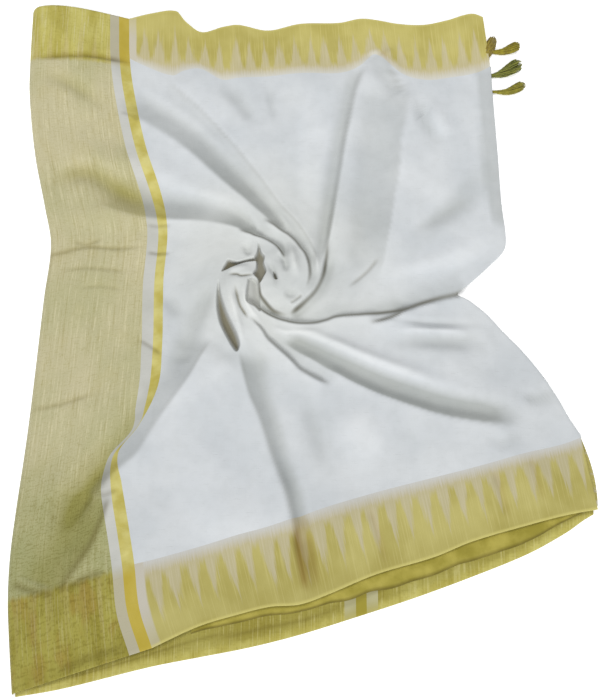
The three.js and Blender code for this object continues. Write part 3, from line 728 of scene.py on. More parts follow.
# Openings. name: outline: depth, width of the wall, how dark the painted shade in it is
PITS = folds(
    """
    slot: -63 161, -59 146, -54 138, -55 127, -51 113, -55 103, -60 93, -64 102, -70 109, -66 119,
        -66 129, -69 136, -65 146: 15 4 0.9;
    gap: -119 115, -114 126, -109 134, -102 132, -94 130, -82 133, -66 137, -66 132, -82 129, -95 124,
        -106 120: 13 3 1;
    pocket: -123 98, -125 79, -124 55, -119 33, -111 16, -101 -2, -94 -10, -90 -1, -93 12, -100 28,
        -108 45, -115 63, -120 81: 17 7 1;
    panel: -78 99, -80 79, -80 63, -68 56, -59 49, -60 65, -61 81, -64 95, -71 102: 7 4 0.3;
    eye: -40 113, -36 107, -34 99, -37 98, -40 104: 9 3 0.9;
    """
)
MOUNDS = (  # x, y, half width, half length, rise: the bud and the pleat
    (-14, 99, 42, 52, 7),
    (-92, 85, 26, 36, 6),
)
ROSE_FADE = 0.15


def rose_shape(points, marks):
    """Adds the rose to the marks."""
    soft_folds(points, ROSE_SOFT, SOFT_FADE, marks)
    laps(points, ROSE_LAPS, ROSE_FADE, marks)
    creases(points, ROSE_CREASES, marks)
    for x, y, half_width, half_length, rise in MOUNDS:
        across = (points[:, 0] - x) / half_width
        along = (points[:, 1] - y) / half_length
        marks["rise"] += rise * np.exp(-((across**2 + along**2) ** 2))
    pits(points, PITS, marks)


HANG = 9.0  # how far the body stands off the hidden layers between its folds
FLAT_FADE = 0.1
RUMPLES = ((1.6, 90), (1.0, 37), (0.3, 15))  # height and pitch of the unevenness
CALM_EDGE = 30  # nearer the outline than this the cloth is smoother
SOFT_STOP = 4  # how softly the cloth comes down on the hidden layers


def drape(points):
    """Where the points of the cloth's plan come to lie, with the marks of its folds there: painted shade
    and highlight, and painted dark lines.
    """
    plan = points.reshape(-1, 2)
    marks = {name: np.zeros(len(plan)) for name in ("rise", "hollow", "seam")}
    soft_folds(plan, SOFT_FOLDS, SOFT_FADE, marks)
    laps(plan, LAPS, FLAT_FADE, marks)
    creases(plan, CREASES, marks)
    rose_shape(plan, marks)
    x, y = plan.T
    edge = outline_distance(plan)
    uneven = sum(high * rumple(x, y, pitch, seed) for seed, (high, pitch) in enumerate(RUMPLES, 1))
    rise = marks["rise"] + ease(edge / CALM_EDGE) * uneven
    stand = HANG * ease(edge / LOFT_REACH) + rise
    lifted = (stand + np.hypot(stand, SOFT_STOP)) / 2
    height = layers_top(plan) + REST + CLOTH + lifted
    shape = points.shape[:-1]
    place = np.column_stack([plan, height]).reshape(*shape, 3)
    return place, marks["hollow"].reshape(shape), marks["seam"].reshape(shape)


def cloth_piece(name, places, faces, weave, marks, material):
    """A mesh with smooth faces, its weave coordinates in metres, and the marks of its folds, which its
    material paints as shade and highlight.
    """
    mesh = bpy.data.meshes.new(name)
    mesh.from_pydata((places * MM + shift).tolist(), [], faces)
    mesh.shade_smooth()
    corners = np.empty(len(mesh.loops), np.int32)
    mesh.loops.foreach_get("vertex_index", corners)
    layer = mesh.uv_layers.new(name="weave")
    layer.data.foreach_set("uv", np.asarray(weave, np.float32)[corners].ravel())
    for mark, values in marks.items():
        kept = mesh.attributes.new(mark, "FLOAT", "POINT")
        kept.data.foreach_set("value", np.asarray(values, np.float32).ravel())
    mesh.materials.append(material)
    piece = bpy.data.objects.new(name, mesh)
    bpy.context.scene.collection.objects.link(piece)
    return piece


def grid_faces(rows, columns, first=0, loop=False):
    """Squares over a grid of points counted row by row, which run anticlockwise from above when the
    columns go right and the rows go away."""
    faces = []
    for row in range(rows - 1):
        for column in range(columns if loop else columns - 1):
            a = first + row * columns + column
            b = first + row * columns + (column + 1) % columns
            faces.append((a, b, b + columns, a + columns))
    return faces


# A hem or an edge rolls over: how far out and how far down its points lie
ROLL = ((0.0, 0.0), (0.9, -0.35), (1.3, -1.1), (0.8, -1.9), (-2.5, -2.1), (-9.0, -2.3))
LOWEST = 0.25  # no rolled edge goes nearer the floor


def rolled(grid, way):
    """Rows of points that roll an open edge over. way is the direction out of the cloth."""
    rows = []
    for out, down in ROLL[1:]:
        row = grid.copy()
        row[:, :2] += way * out
        row[:, 2] = np.maximum(row[:, 2] + down, LOWEST)
        rows.append(row)
    return np.array(rows)


def outwards(edge, inner):
    """The level direction from the row of points inside an edge to the edge."""
    way = (edge - inner)[:, :2]
    return way / np.hypot(*way.T)[:, None]


def with_hems(places, low=False, high=False, marks=()):
    """The grid with its first or last row rolled over. Each mark is carried on to the new rows."""
    grids = [places, *marks]
    if high:
        roll = rolled(places[-1], outwards(places[-1], places[-2]))
        added = [roll, *(np.repeat(grid[-1:], len(roll), 0) for grid in grids[1:])]
        grids = [np.concatenate(pair) for pair in zip(grids, added)]
    if low:
        roll = rolled(places[0], outwards(places[0], places[1]))[::-1]
        added = [roll, *(np.repeat(grid[:1], len(roll), 0) for grid in grids[1:])]
        grids = [np.concatenate(pair) for pair in zip(added, grids)]
    return grids


def grid_piece(name, grids, marks, material, flipped=False):
    """A piece from a grid of places, its two weave coordinates and its marks, each as a grid."""
    rows, columns = grids[1].shape
    faces = grid_faces(rows, columns)
    if flipped:
        faces = [face[::-1] for face in faces]
    weave = np.stack([grids[1].ravel(), grids[2].ravel()], -1)
    named_marks = dict(zip(marks, grids[3:]))
    return cloth_piece(name, grids[0].reshape(-1, 3), faces, weave, named_marks, material)


LEFT_ROWS = {"bottom": 26, "side": 340, "top": 22}
left_shares = np.concatenate(
    [
        np.linspace(0, BOTTOM_SHARE, LEFT_ROWS["bottom"], endpoint=False),
        np.linspace(BOTTOM_SHARE, TOP_SHARE, LEFT_ROWS["side"], endpoint=False),
        np.linspace(TOP_SHARE, 1, LEFT_ROWS["top"] + 1),
    ]
)
# Width of the cloth across, hem to hem, at its full cut
CUT_WIDTH = 1.12
BORDER_CUT = 0.105
TOP_BAND = 0.088  # share of the width that the border takes up in the pallu at the top


def hem_distance(share):
    """Metres of cloth from a share of the width to the nearer hem."""
    from_bottom = share / BOTTOM_SHARE * BORDER_CUT
    from_top = (1 - share) / TOP_BAND * BORDER_CUT
    return np.minimum(from_bottom, from_top)


def striped_finish(name, light, dark, cream, dulled=1.0, spikes=0.5):
    """Beige cotton with fine cream and dark lines, and the yellow of the borders near the hems."""
    finish = Finish(name, roughness=0.85, sheen=0.1)
    u, v = finish.along_weave()
    hem = finish.mark("hem")
    # lines of the warp, each broken into dashes along its length
    lines = finish.noise(u * 420, v * 7, 1.0, 2.0, 4.0)
    dashes = finish.noise(u * 240, v * 46, 1.0, 1.0, 9.0)
    ribs = finish.noise(u * 90, v * 420, 1.0, 1.0, 14.0)
    fine = finish.noise(u * 560, v * 300, 1.0, 1.0, 17.0)
    cream_line = lines.between(0.5, 0.66) * dashes.between(0.34, 0.6)
    dark_line = (1 - lines.between(0.34, 0.48)) * dashes.between(0.36, 0.6)
    drift = finish.noise(u * 9, v * 5, 1.0, 3.0, 2.0)
    ground = finish.blend(drift.between(0.35, 0.65), dark, light)
    patch = finish.noise(u * 34, v * 16, 1.0, 3.0, 6.0)
    ground = finish.darken(ground, patch.between(0.5, 0.72) * 0.3, (0.9, 0.87, 0.7))
    # the corner by the lower hem is creased, mottled and dull
    dull = 1 - (v + 0.12 * (drift - 0.5)).between(0.14, 0.34)
    ground = finish.darken(ground, dull * dulled, (0.78, 0.82, 0.68))
    edge = 0.104 + 0.01 * (finish.noise(u * 160, 0.0, 1.0, 2.0) - 0.5)
    border = 1 - hem.between(edge - 0.006, edge + 0.004)
    yellow = finish.blend(patch.between(0.35, 0.65), tone(181, 173, 97), tone(164, 154, 73))
    # temple spikes, beige, pointing to the hem
    spike = abs((u / 0.024 + 0.6 * (drift - 0.5)).fraction() - 0.5) * 2
    spike_width = 0.5 * (hem - 0.03) / 0.075 + 0.5 * (fine - 0.5) + 0.8 * (lines - 0.5)
    in_spike = 1 - (spike - spike_width).between(-0.2, 0.2)
    yellow = finish.blend(in_spike * spikes, yellow, tone(184, 172, 120))
    rust = finish.noise(u * 40, v * 26, 1.0, 3.0, 31.0)
    yellow = finish.darken(yellow, dull * dulled, (0.66, 0.66, 0.46))
    yellow = finish.blend(dull * dulled * rust.between(0.5, 0.68) * 0.5, yellow, tone(138, 112, 44))
    ground = finish.blend(border, ground, yellow)
    colour = finish.blend(cream_line * (0.5 - 0.1 * border) * (1 - 0.6 * dull * dulled), ground, cream)
    colour = finish.darken(colour, dark_line * 0.6, (0.8, 0.77, 0.62))
    mottle = (ribs + fine - 1).most(0) * (1.8 + 3.4 * dull * dulled)
    colour = finish.darken(colour, mottle.least(1), (0.8, 0.78, 0.66))
    # painted shade in the hollows of the folds and along their crease lines
    colour = finish.shaded_in_folds(colour, (0.66, 0.64, 0.34), (0.45, 0.4, 0.2))
    threads = finish.noise(u * 1800, v * 1800, 1.0, 1.0, 3.0)
    height = 0.4 * fine + 0.25 * threads + 0.4 * ribs + 0.3 * dashes
    return finish.done(colour, height, 0.0007, 0.6)


stripe = striped_finish("pallu_stripe", tone(180, 173, 139), tone(169, 165, 127), tone(198, 191, 156))
PALLU_COLUMNS = 66
rolled_steps = np.array([0.0, 0.7, 2.2, 4.5, 8.0])
share_grid = np.repeat(left_shares[:, None], PALLU_COLUMNS + len(rolled_steps), 1)
widths = pallu_width(left_shares)[:, None]
spread = np.linspace(0, 1, PALLU_COLUMNS)[None]
BAR_EDGE = table(
    "share white yellow",
    """
    0 32 17; 0.2 31 17; 0.235 29 15; 0.262 17 9; 0.285 7 1.5; 0.3 6 1; 0.318 12 1.5; 0.336 22 8;
    0.36 28 13; 0.42 31 14; 0.6 31 14; 0.72 32 17; 1 32 17;
    """,
)
white_edge = through(BAR_EDGE, "share", "white")(left_shares)[:, None]
yellow_edge = through(BAR_EDGE, "share", "yellow")(left_shares)[:, None]
flat_distance = (widths - FOLD_RADIUS) + (white_edge - widths + FOLD_RADIUS) * spread
distance_grid = np.hstack([widths - rolled_steps[None], flat_distance])
plan = left_point(share_grid, distance_grid)
pallu_places, pallu_hollow, pallu_seam = drape(plan)
turn = np.clip((widths - distance_grid) / FOLD_RADIUS, 0, 1)
pallu_places[..., 2] *= np.sqrt(1 - (1 - turn) ** 2)
along = np.linspace(0, CUT_WIDTH, len(left_shares))[:, None] + 0 * distance_grid
hem_grid = hem_distance(share_grid)
grids = with_hems(
    pallu_places, True, True, ((widths - distance_grid) * MM, along, hem_grid, pallu_hollow, pallu_seam)
)
STRIPE_MARKS = ("hem", "hollow", "seam")
PLAIN_MARKS = ("hollow", "seam")
pallu = grid_piece("pallu_cloth", grids, STRIPE_MARKS, stripe)
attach(pallu, "root")
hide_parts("pallu")

# ---------------------------------------------------------------------------------------------------
# Bars: a white and a yellow bar woven across the cloth between the pallu and the body, one cloth with
# them. They run from hem to hem.


def cotton_finish(name, light, dark, border_tone=None, fold_shade_tone=(0.64, 0.645, 0.61), patch=8, swirl=False):
    """Plain handloom cotton: slubs along both threads, a soft drift of tone, painted shade in the creases
    and a painted highlight on the ridges.
    """
    finish = Finish(name, roughness=0.88, sheen=0.12)
    u, v = finish.along_weave()
    drift = finish.noise(u * patch, v * patch, 1.0, 3.0)
    weft = finish.noise(u * 30, v * 900, 1.0, 1.0, 2.0)
    warp = finish.noise(u * 900, v * 30, 1.0, 1.0, 5.0)
    slub = finish.noise(u * 60, v * 420, 1.0, 2.0, 7.0).between(0.6, 0.75)
    colour = finish.blend(drift.between(0.3, 0.7), dark, light)
    colour = finish.darken(colour, slub * 0.35 + (weft + warp) * 0.12, (0.9, 0.9, 0.88))
    # cloudy patches of tone, and a painted highlight along the ridges of the folds
    cloudy = finish.noise(u * 55, v * 55, 1.0, 3.0, 11.0)
    colour = finish.darken(colour, cloudy.between(0.4, 0.66) * 0.5, (0.94, 0.94, 0.935))
    ridge_highlight = finish.darken(colour, 1.0, (1.1, 1.09, 1.08))
    colour = finish.blend((0 - finish.mark("hollow")).between(0.02, 0.3) * 0.6, colour, ridge_highlight)
    if border_tone:
        hem = finish.mark("hem")
        near = 1 - hem.between(0.09, 0.112)
        colour = finish.blend(near * 0.75, colour, border_tone)
    # painted warm light bounced between the folds: the cloth is made warmer round the rose
    if swirl:
        spot = finish.node("ShaderNodeTexCoord", output=3)
        aside = finish.node("ShaderNodeSeparateXYZ", sockets={0: spot}, output=0) + 0.04
        away = finish.node("ShaderNodeSeparateXYZ", sockets={0: spot}, output=1) - 0.08
        near = 1 - ((aside * aside + away * away) ** 0.5).between(0.06, 0.24)
        colour = finish.darken(colour, near, (1.0, 0.99, 0.945))
    # painted shade in the hollows of the folds and along their crease lines
    colour = finish.shaded_in_folds(colour, fold_shade_tone, (0.31, 0.275, 0.19), 0.12)
    height = 0.45 * (weft + warp) + 0.4 * slub
    return finish.done(colour, height, 0.0005, 0.5)


white = cotton_finish("white_cotton", tone(198, 201, 203), tone(188, 192, 195), swirl=True)
white_bar = cotton_finish(
    "white_bar_cotton", tone(188, 188, 183), tone(178, 178, 170), tone(166, 158, 126)
)
yellow_bar = cotton_finish(
    "yellow_bar_cotton", tone(196, 188, 120), tone(174, 162, 80), tone(172, 150, 44), (0.66, 0.62, 0.34), 30
)
BARS = (  # name, from, to, material, node, slot
    ("white_bar", white_edge, yellow_edge, white_bar, "bar_white", "white_cotton"),
    ("yellow_bar", yellow_edge, 0 * yellow_edge, yellow_bar, "bar_yellow", "yellow_bar"),
)
BAR_COLUMNS = 8
for name, outer, inner, material, node, slot_name in BARS:
    distance = outer + (inner - outer) * np.linspace(0, 1, BAR_COLUMNS)[None]
    share = np.repeat(left_shares[:, None], BAR_COLUMNS, 1)
    places, hollow, seam = drape(left_point(share, distance))
    along = np.linspace(0, CUT_WIDTH, len(left_shares))[:, None] + 0 * distance
    grids = with_hems(places, True, True, (distance * MM, along, hem_distance(share), hollow, seam))
    bar = grid_piece(name, grids, STRIPE_MARKS, material)
    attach(bar, "root")
    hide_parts(node)

# ---------------------------------------------------------------------------------------------------
# Borders: along both selvages the cloth is yellow, with rows of narrow temple spikes that rise from a
# beige band and run out towards the hem. Their edges are soft, because the threads were dyed first.
SPIKE_PITCH = 0.026


def temple_finish(name, dimming=0.0):
    finish = Finish(name, roughness=0.82, sheen=0.1)
    u, v = finish.along_weave()
    uneven = finish.noise(u * 34, 0.0, 1.0, 2.0)
    ragged = finish.noise(u * 620, v * 30, 1.0, 3.0, 3.0)
    drift = finish.noise(u * 16, v * 12, 1.0, 3.0, 5.0)
    streak = finish.noise(u * 420, v * 11, 1.0, 2.0, 8.0)
    yellow = finish.blend(drift.between(0.3, 0.7), tone(180, 170, 100), tone(162, 151, 78))
    yellow = finish.blend(streak.between(0.5, 0.75) * 0.5, yellow, tone(194, 184, 118))
    beige = finish.blend(streak.between(0.35, 0.65), tone(188, 179, 153), tone(176, 167, 134))
    # a spike: full at the beige band, a point two thirds of the way to the hem
    swing = (u / SPIKE_PITCH + 0.9 * uneven).fraction()
    spike = abs(swing - 0.5) * 2
    reach = 0.03 + 0.03 * (uneven - 0.5)
    width = 0.8 * (v - reach) / 0.062 + 0.85 * (ragged - 0.5)
    in_spike = 1 - (spike - width).between(-0.16, 0.18)
    band = (v + 0.014 * (ragged - 0.5)).between(0.078, 0.094)
    colour = finish.blend((in_spike * (0.55 + 0.3 * streak)).most(band * 0.9), yellow, beige)
    fading = (v + 0.016 * (ragged - 0.5)).between(0.088, 0.107)
    colour = finish.blend(fading * 0.9, colour, tone(192, 191, 184))
    # the second white bar runs on through the border
    bar = 1 - (u + 0.003 * (ragged - 0.5)).between(0.011, 0.014)
    colour = finish.blend(bar * (0.5 + 0.5 * v.between(0.0, 0.06)), colour, tone(186, 180, 162))
    colour = finish.blend((1 - v.between(0.0, 0.004)) * 0.6, colour, tone(200, 190, 112))
    # the bottom border is made a little darker and bluer all over
    colour = finish.darken(colour, dimming, (0.89, 0.9, 0.95))
    # painted shade in the hollows of the folds and along their crease lines
    colour = finish.shaded_in_folds(colour, (0.66, 0.58, 0.36), (0.6, 0.42, 0.2))
    threads = finish.noise(u * 1800, v * 1800, 1.0, 1.0, 3.0)
    height = 0.6 * streak + 0.5 * threads
    return finish.done(colour, height, 0.0005, 0.5)


temple = temple_finish("temple_border")
dimmed_temple = temple_finish("dimmed_temple_border", 1.0)
HEM_COLUMNS = 200
BORDERS = (  # name, point, rows, length in metres, node, finish
    ("bottom_border_cloth", bottom_point, LEFT_ROWS["bottom"], 0.66, "border_bottom", dimmed_temple),
    ("top_border_cloth", top_point, LEFT_ROWS["top"], 0.62, "border_top", temple),
)
for name, point, row_count, length, node, finish in BORDERS:
    columns_at = np.linspace(0, 1, HEM_COLUMNS + 1)
    rows_at = np.linspace(0, 1, row_count + 1)
    column_grid, row_grid = np.meshgrid(columns_at, rows_at)
    places, hollow, seam = drape(point(column_grid, row_grid))
    weave_u = column_grid * length
    weave_v = row_grid * BORDER_CUT
    grids = with_hems(places, True, False, (weave_u, weave_v, hollow, seam))
    border = grid_piece(name, grids, PLAIN_MARKS, finish, flipped=node == "border_top")
    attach(border, "root")
    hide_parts(node)

# ---------------------------------------------------------------------------------------------------
# Body: the plain white cotton between the borders, pulled in from all sides by the fingers, pinched and
# wound clockwise into a flat rose. It is one cloth with the borders and the bars.
FREE_COLUMNS = 210
LEAN = 0.12  # the rows of the mesh turn this much on their way in
ZONE = 130.0  # inside this distance of the eye every other row goes on
hem_turns = np.linspace(0, 1, HEM_COLUMNS + 1)
side_shares = left_shares[LEFT_ROWS["bottom"] : LEFT_ROWS["bottom"] + LEFT_ROWS["side"] + 1]
ones = np.ones(HEM_COLUMNS + 1)
body_loop = np.vstack(
    [
        bottom_point(hem_turns, ones)[:-1],
        free_point(np.linspace(0, 1, FREE_COLUMNS + 1))[:-1],
        top_point(hem_turns[::-1], ones)[:-1],
        left_point(side_shares[::-1], 0 * side_shares)[:-1],
    ]
)
spokes = len(body_loop)
far = from_swirl(body_loop)
bearing = np.arctan2(body_loop[:, 1] - SWIRL[1], body_loop[:, 0] - SWIRL[0])


def spoke_points(away, far_away, start_bearing):
    turned = start_bearing + LEAN * (far_away - np.maximum(away, ZONE)) / (far_away - ZONE)
    return np.stack([SWIRL[0] + away * np.cos(turned), SWIRL[1] + away * np.sin(turned)], -1)


CROWDING = 0.45  # the rings lie closer together towards the rose
OUTER_RINGS = 52
INNER_RINGS = 96
ring_steps = np.linspace(0, 1, OUTER_RINGS + 1)
outer_share = ring_steps + CROWDING / np.pi * np.sin(np.pi * ring_steps)
outer_away = far[None] + (ZONE - far[None]) * outer_share[:, None]
inner_away = ZONE * (1 - np.linspace(0, 1, INNER_RINGS + 1)[1:-1])[:, None] + 0 * far[None, ::2]
outer_plan = spoke_points(outer_away, far[None], bearing[None])
inner_plan = spoke_points(inner_away, far[None, ::2], bearing[None, ::2])
eye_plan = np.array([[SWIRL[0], SWIRL[1]]])
flat_plan = np.vstack([outer_plan.reshape(-1, 2), inner_plan.reshape(-1, 2), eye_plan])
body_places, body_hollow, body_seam = drape(flat_plan)
PULL = 1.1  # the pinched cloth is longer than its plan
TWIST = 0.5  # and its threads turn with the rose
TWIST_REACH = 150
from_eye = flat_plan - SWIRL
eye_away = np.maximum(np.hypot(*from_eye.T), 1)
twist = TWIST * np.log(np.maximum(TWIST_REACH / eye_away, 1))
thread_x = from_eye[:, 0] * np.cos(twist) - from_eye[:, 1] * np.sin(twist)
thread_y = from_eye[:, 0] * np.sin(twist) + from_eye[:, 1] * np.cos(twist)
body_weave = PULL * np.stack([thread_x, thread_y], -1) * MM
faces = grid_faces(OUTER_RINGS + 1, spokes, loop=True)
ring_start = OUTER_RINGS * spokes
inner_start = ring_start + spokes
half = spokes // 2
for k in range(half):
    a, b, c = (ring_start + (2 * k + step) % spokes for step in range(3))
    d = inner_start + k
    e = inner_start + (k + 1) % half
    faces += [(a, b, d), (b, e, d), (b, c, e)]
faces += grid_faces(INNER_RINGS - 1, half, inner_start, loop=True)
last = inner_start + (INNER_RINGS - 2) * half
eye = len(flat_plan) - 1
faces += [(last + k, last + (k + 1) % half, eye) for k in range(half)]
# the free edge at the right rolls over
free_first = HEM_COLUMNS
edge_ids = np.arange(free_first, free_first + FREE_COLUMNS + 1)
edge_places = body_places[edge_ids]
runs = np.gradient(edge_places[:, :2], axis=0)
out_way = np.stack([runs[:, 1], -runs[:, 0]], -1) / np.hypot(*runs.T)[:, None]
roll_rows = rolled(edge_places, out_way)
roll_start = len(flat_plan)
width = FREE_COLUMNS + 1
for k in range(FREE_COLUMNS):
    faces.append((int(edge_ids[k + 1]), int(edge_ids[k]), roll_start + k, roll_start + k + 1))
faces += [face[::-1] for face in grid_faces(len(roll_rows), width, roll_start)]
rolls = len(roll_rows)
body_places = np.vstack([body_places, roll_rows.reshape(-1, 3)])
body_weave = np.vstack([body_weave, np.tile(body_weave[edge_ids], (rolls, 1))])
body_hollow = np.concatenate([body_hollow, np.tile(body_hollow[edge_ids], rolls)])
body_seam = np.concatenate([body_seam, np.tile(body_seam[edge_ids], rolls)])
body_marks = {"hollow": body_hollow, "seam": body_seam}
body = cloth_piece("body_cloth", body_places, faces, body_weave, body_marks, white)
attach(body, "root")
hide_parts("field", "swirl")

# ---------------------------------------------------------------------------------------------------
# Hidden layers: the rest of the five and a half metres, folded and pressed flat under the top layer.
# They show only as folded edges round the rim.
LAYERS = 4
hidden_white = cotton_finish("hidden_cotton", tone(214, 215, 212), tone(200, 200, 192))
LOWER_HEM = table(
    "x y",
    """
    -389 -500; -325 -489; -205 -460; -137 -447; -69 -434; 0 -417; 79 -393; 160 -367; 241 -338; 324 -305;
    380 -275; 405 -258; 424 -247;
    """,
)
lower_hem = through(LOWER_HEM, "x", "y")
SIDE_STEPS = 160
NEAR_LEFT = -383
NEAR_RIGHT = 416
side_turns = np.linspace(0, 1, SIDE_STEPS)
near_x = np.linspace(NEAR_LEFT, NEAR_RIGHT, SIDE_STEPS)
hidden_outline = np.vstack(
    [
        np.stack([near_x, bottom_hem(near_x) + 6], -1),
        bottom_point(np.ones(8), np.linspace(0.1, 1, 8)),
        free_point(side_turns)[1:],
        top_point(np.ones(8), np.linspace(1, 0, 8))[1:],
        top_point(np.linspace(1, 0, SIDE_STEPS), 0 * side_turns)[1:],
        left_point(np.ones(30), np.linspace(0, pallu_width(1) - 8, 30))[1:],
        left_point(np.linspace(1, 0.01, 200), pallu_width(np.linspace(1, 0.01, 200)))[1:],
    ]
)


def drawn_in(points, distances):
    """A closed line of points drawn in by a distance each."""
    along = np.roll(points, -1, 0) - np.roll(points, 1, 0)
    along /= np.hypot(*along.T)[:, None]
    return points + np.stack([-along[:, 1], along[:, 0]], -1) * np.asarray(distances)[:, None]


INSET = 4.0  # how far they stay inside the edges of the top layer
LEFT_END = -380
insets = np.where(hidden_outline[:, 0] < LEFT_END, FOLD_RADIUS + 2.0, INSET)
insets[:SIDE_STEPS] = 0
rim = drawn_in(hidden_outline, insets)
step = STACK / LAYERS
ROUND = ((2.2, 0.06), (0.7, 0.2), (0.0, 0.5), (0.7, 0.8), (2.2, 0.94))  # a folded edge: inset, height
WAVER = 1.4  # how far a layer's edge strays
WAVER_PITCH = 60
rings = []
for layer in range(LAYERS):
    waver = WAVER + WAVER * rumple(rim[:, 0], rim[:, 1], WAVER_PITCH, 5 + layer)
    for inset, height in ROUND:
        ring = drawn_in(rim, waver + inset)
        rings.append(np.column_stack([ring, np.full(len(ring), (layer + height) * step)]))
for share in (0.1, 0.25, 0.4, 0.55, 0.7, 0.82, 0.92):
    ring = rings[LAYERS * len(ROUND) - 1][:, :2] * (1 - share) + np.array(SWIRL) * share
    rings.append(np.column_stack([ring, layers_top(ring)]))
hidden_places = np.vstack([*rings, [[*SWIRL, STACK + DOME_RISE]], [[*SWIRL, ROUND[0][1] * step]]])
count = len(rim)
hidden_faces = grid_faces(len(rings), count, loop=True)
top_last = (len(rings) - 1) * count
top_eye = len(rings) * count
hidden_faces += [(top_last + k, top_last + (k + 1) % count, top_eye) for k in range(count)]
hidden_faces += [((k + 1) % count, k, top_eye + 1) for k in range(count)]
hidden_marks = {mark: np.zeros(len(hidden_places)) for mark in PLAIN_MARKS}
hidden = cloth_piece(
    "hidden_layers", hidden_places, hidden_faces, hidden_places[:, :2] * MM, hidden_marks, hidden_white
)
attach(hidden, "root")
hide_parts("under_layers")

# ---------------------------------------------------------------------------------------------------
# Lower layers past the bottom hem: the pallu turned under, with its two white bars and its yellow bar,
# lying on the floor in soft waves with its hem outermost.
under_stripe = striped_finish(
    "under_stripe", tone(160, 152, 80), tone(144, 134, 58), tone(196, 188, 132), 0, 0
)
under_white = cotton_finish("under_white", tone(188, 184, 152), tone(172, 167, 124), tone(166, 156, 76))
under_yellow = cotton_finish("under_yellow", tone(170, 160, 70), tone(152, 140, 50))
UNDER = (  # name, from, to, columns, material, node, slot
    ("under_left", -387, 62, 180, under_stripe, "under_pallu_left", "pallu_stripe"),
    ("under_white_left", 62, 78, 8, under_white, "under_bar_white_left", "white_cotton"),
    ("under_yellow", 78, 93, 8, under_yellow, "under_bar_yellow", "yellow_bar"),
    ("under_white_right", 93, 109, 8, under_white, "under_bar_white_right", "white_cotton"),
    ("under_right", 109, 420, 130, under_stripe, "under_pallu_right", "pallu_stripe"),
)
UNDER_ROWS = 12
TUCK = 12  # how far the lower cloth goes in under the bottom hem
UNDER_HEM = 0.094  # metres from its woven hem to the edge that shows
UNDER_LENGTH = 40
UNDER_REST = 2.2  # height of its hem
UNDER_FALL = 3.6  # how much higher it is under the bottom hem
UNDER_SWELL = 1.6  # height of its waves, and their pitches
BROAD_WAVE = 46
FINE_WAVE = 17
UNDER_CREASE = 0.62  # where across it a crease is painted as a dark line of shade


def under_height(x, share):
    """Height of the lower cloth: share is 0 under the hem and 1 at its own hem."""
    y = UNDER_LENGTH * share
    wave = 0.6 * rumple(x, y, BROAD_WAVE, 21) + 0.35 * rumple(x, y, FINE_WAVE, 22)
    fall = UNDER_FALL * (1 - share) ** 1.5
    return UNDER_REST + (fall + wave * np.sin(np.pi * np.clip(share, 0, 1)) * UNDER_SWELL)


for name, start, end, column_count, material, node, slot_name in UNDER:
    x, share = np.meshgrid(np.linspace(start, end, column_count + 1), np.linspace(1, 0, UNDER_ROWS + 1))
    inner_y = bottom_hem(x) + TUCK
    y = lower_hem(x) + (inner_y - lower_hem(x)) * (1 - share)
    places = np.stack([x, y, under_height(x, share)], -1)
    # painted shade: a dark line along a crease, and darker in towards the bottom hem
    painted_line_shade = np.exp(-(((share - UNDER_CREASE - 0.08 * rumple(x, 0 * x, 70, 23)) / 0.05) ** 2)) * 0.4
    shade = 0.55 * (1 - share)
    hem_away = UNDER_HEM + (y - lower_hem(x)) * MM
    grids = with_hems(places, True, False, (x * MM, y * MM, hem_away, shade, painted_line_shade))
    piece = grid_piece(name, grids, STRIPE_MARKS, material)
    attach(piece, "root")
    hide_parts(node)

# ---------------------------------------------------------------------------------------------------
# Inner fold: an olive-gold layer between the bottom border and the lower cloth. It shows just under the
# bottom hem, and its own edge is uneven.
olive = cotton_finish("inner_olive", tone(171, 160, 77), tone(144, 134, 51), None, (0.67, 0.64, 0.42), 34)
FOLD_LEFT = -150
FOLD_RIGHT = 416
FOLD_LEAST = 0.2  # share of the way to the lower hem that shows of it
FOLD_MOST = 0.24  # what is added where it is widest
HIDDEN_PART = 0.2  # and what lies out of sight under the bottom hem
FOLD_THICK = 1.6
x, share = np.meshgrid(np.linspace(FOLD_LEFT, FOLD_RIGHT, 220), np.linspace(0, 1, 9))
widest = FOLD_MOST * ease((x + 60) / 260) * (1 - 0.5 * ease((x - 300) / 110))
reach = FOLD_LEAST + widest + 0.05 * rumple(x, 0 * x, 30, 31)
inner_y = bottom_hem(x) + TUCK
y = inner_y + (lower_hem(x) - inner_y) * (reach + HIDDEN_PART) * (1 - share)
z = under_height(x, (reach + HIDDEN_PART) * (1 - share)) + FOLD_THICK + 1.0 * share
# painted shade: darker where it goes in under the bottom hem, and a dark line along its own edge
shade = 0.05 + 0.6 * share**2
painted_line_shade = 0.7 * np.exp(-((share / 0.08) ** 2))
grids = with_hems(np.stack([x, y, z], -1), True, False, (x * MM, y * MM, shade, painted_line_shade))
inner = grid_piece("inner_olive_fold", grids, PLAIN_MARKS, olive)
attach(inner, "root")
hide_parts("inner_fold")

# ---------------------------------------------------------------------------------------------------
# Corner of a lower layer's border: a narrow strip that looks out past the right end of the bottom
# border, a little lower than it.
CORNER_PAST = 8  # how far it looks out, and how far it goes in under the border
CORNER_UNDER = 6
CORNER_REST = 2.4  # height of its edge, and how much higher it is inside
CORNER_FALL = 3
share, out = np.meshgrid(np.linspace(0.06, 1.04, 40), np.linspace(0, 1, 8))
end_points = bottom_point(np.ones_like(share), share)
past = CORNER_PAST * np.sin(np.pi * (0.08 + 0.82 * share)) * out - CORNER_UNDER * (1 - out)
corner_z = CORNER_REST + CORNER_FALL * (1 - out)
corner_places = np.stack([end_points[..., 0] + past, end_points[..., 1], corner_z], -1)
grids = with_hems(corner_places, False, True, (share * 0.1, out * 0.05, 0 * out, 0 * out))
corner = grid_piece("corner_layer", grids, PLAIN_MARKS, temple, flipped=True)
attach(corner, "root")
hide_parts("border_corner")

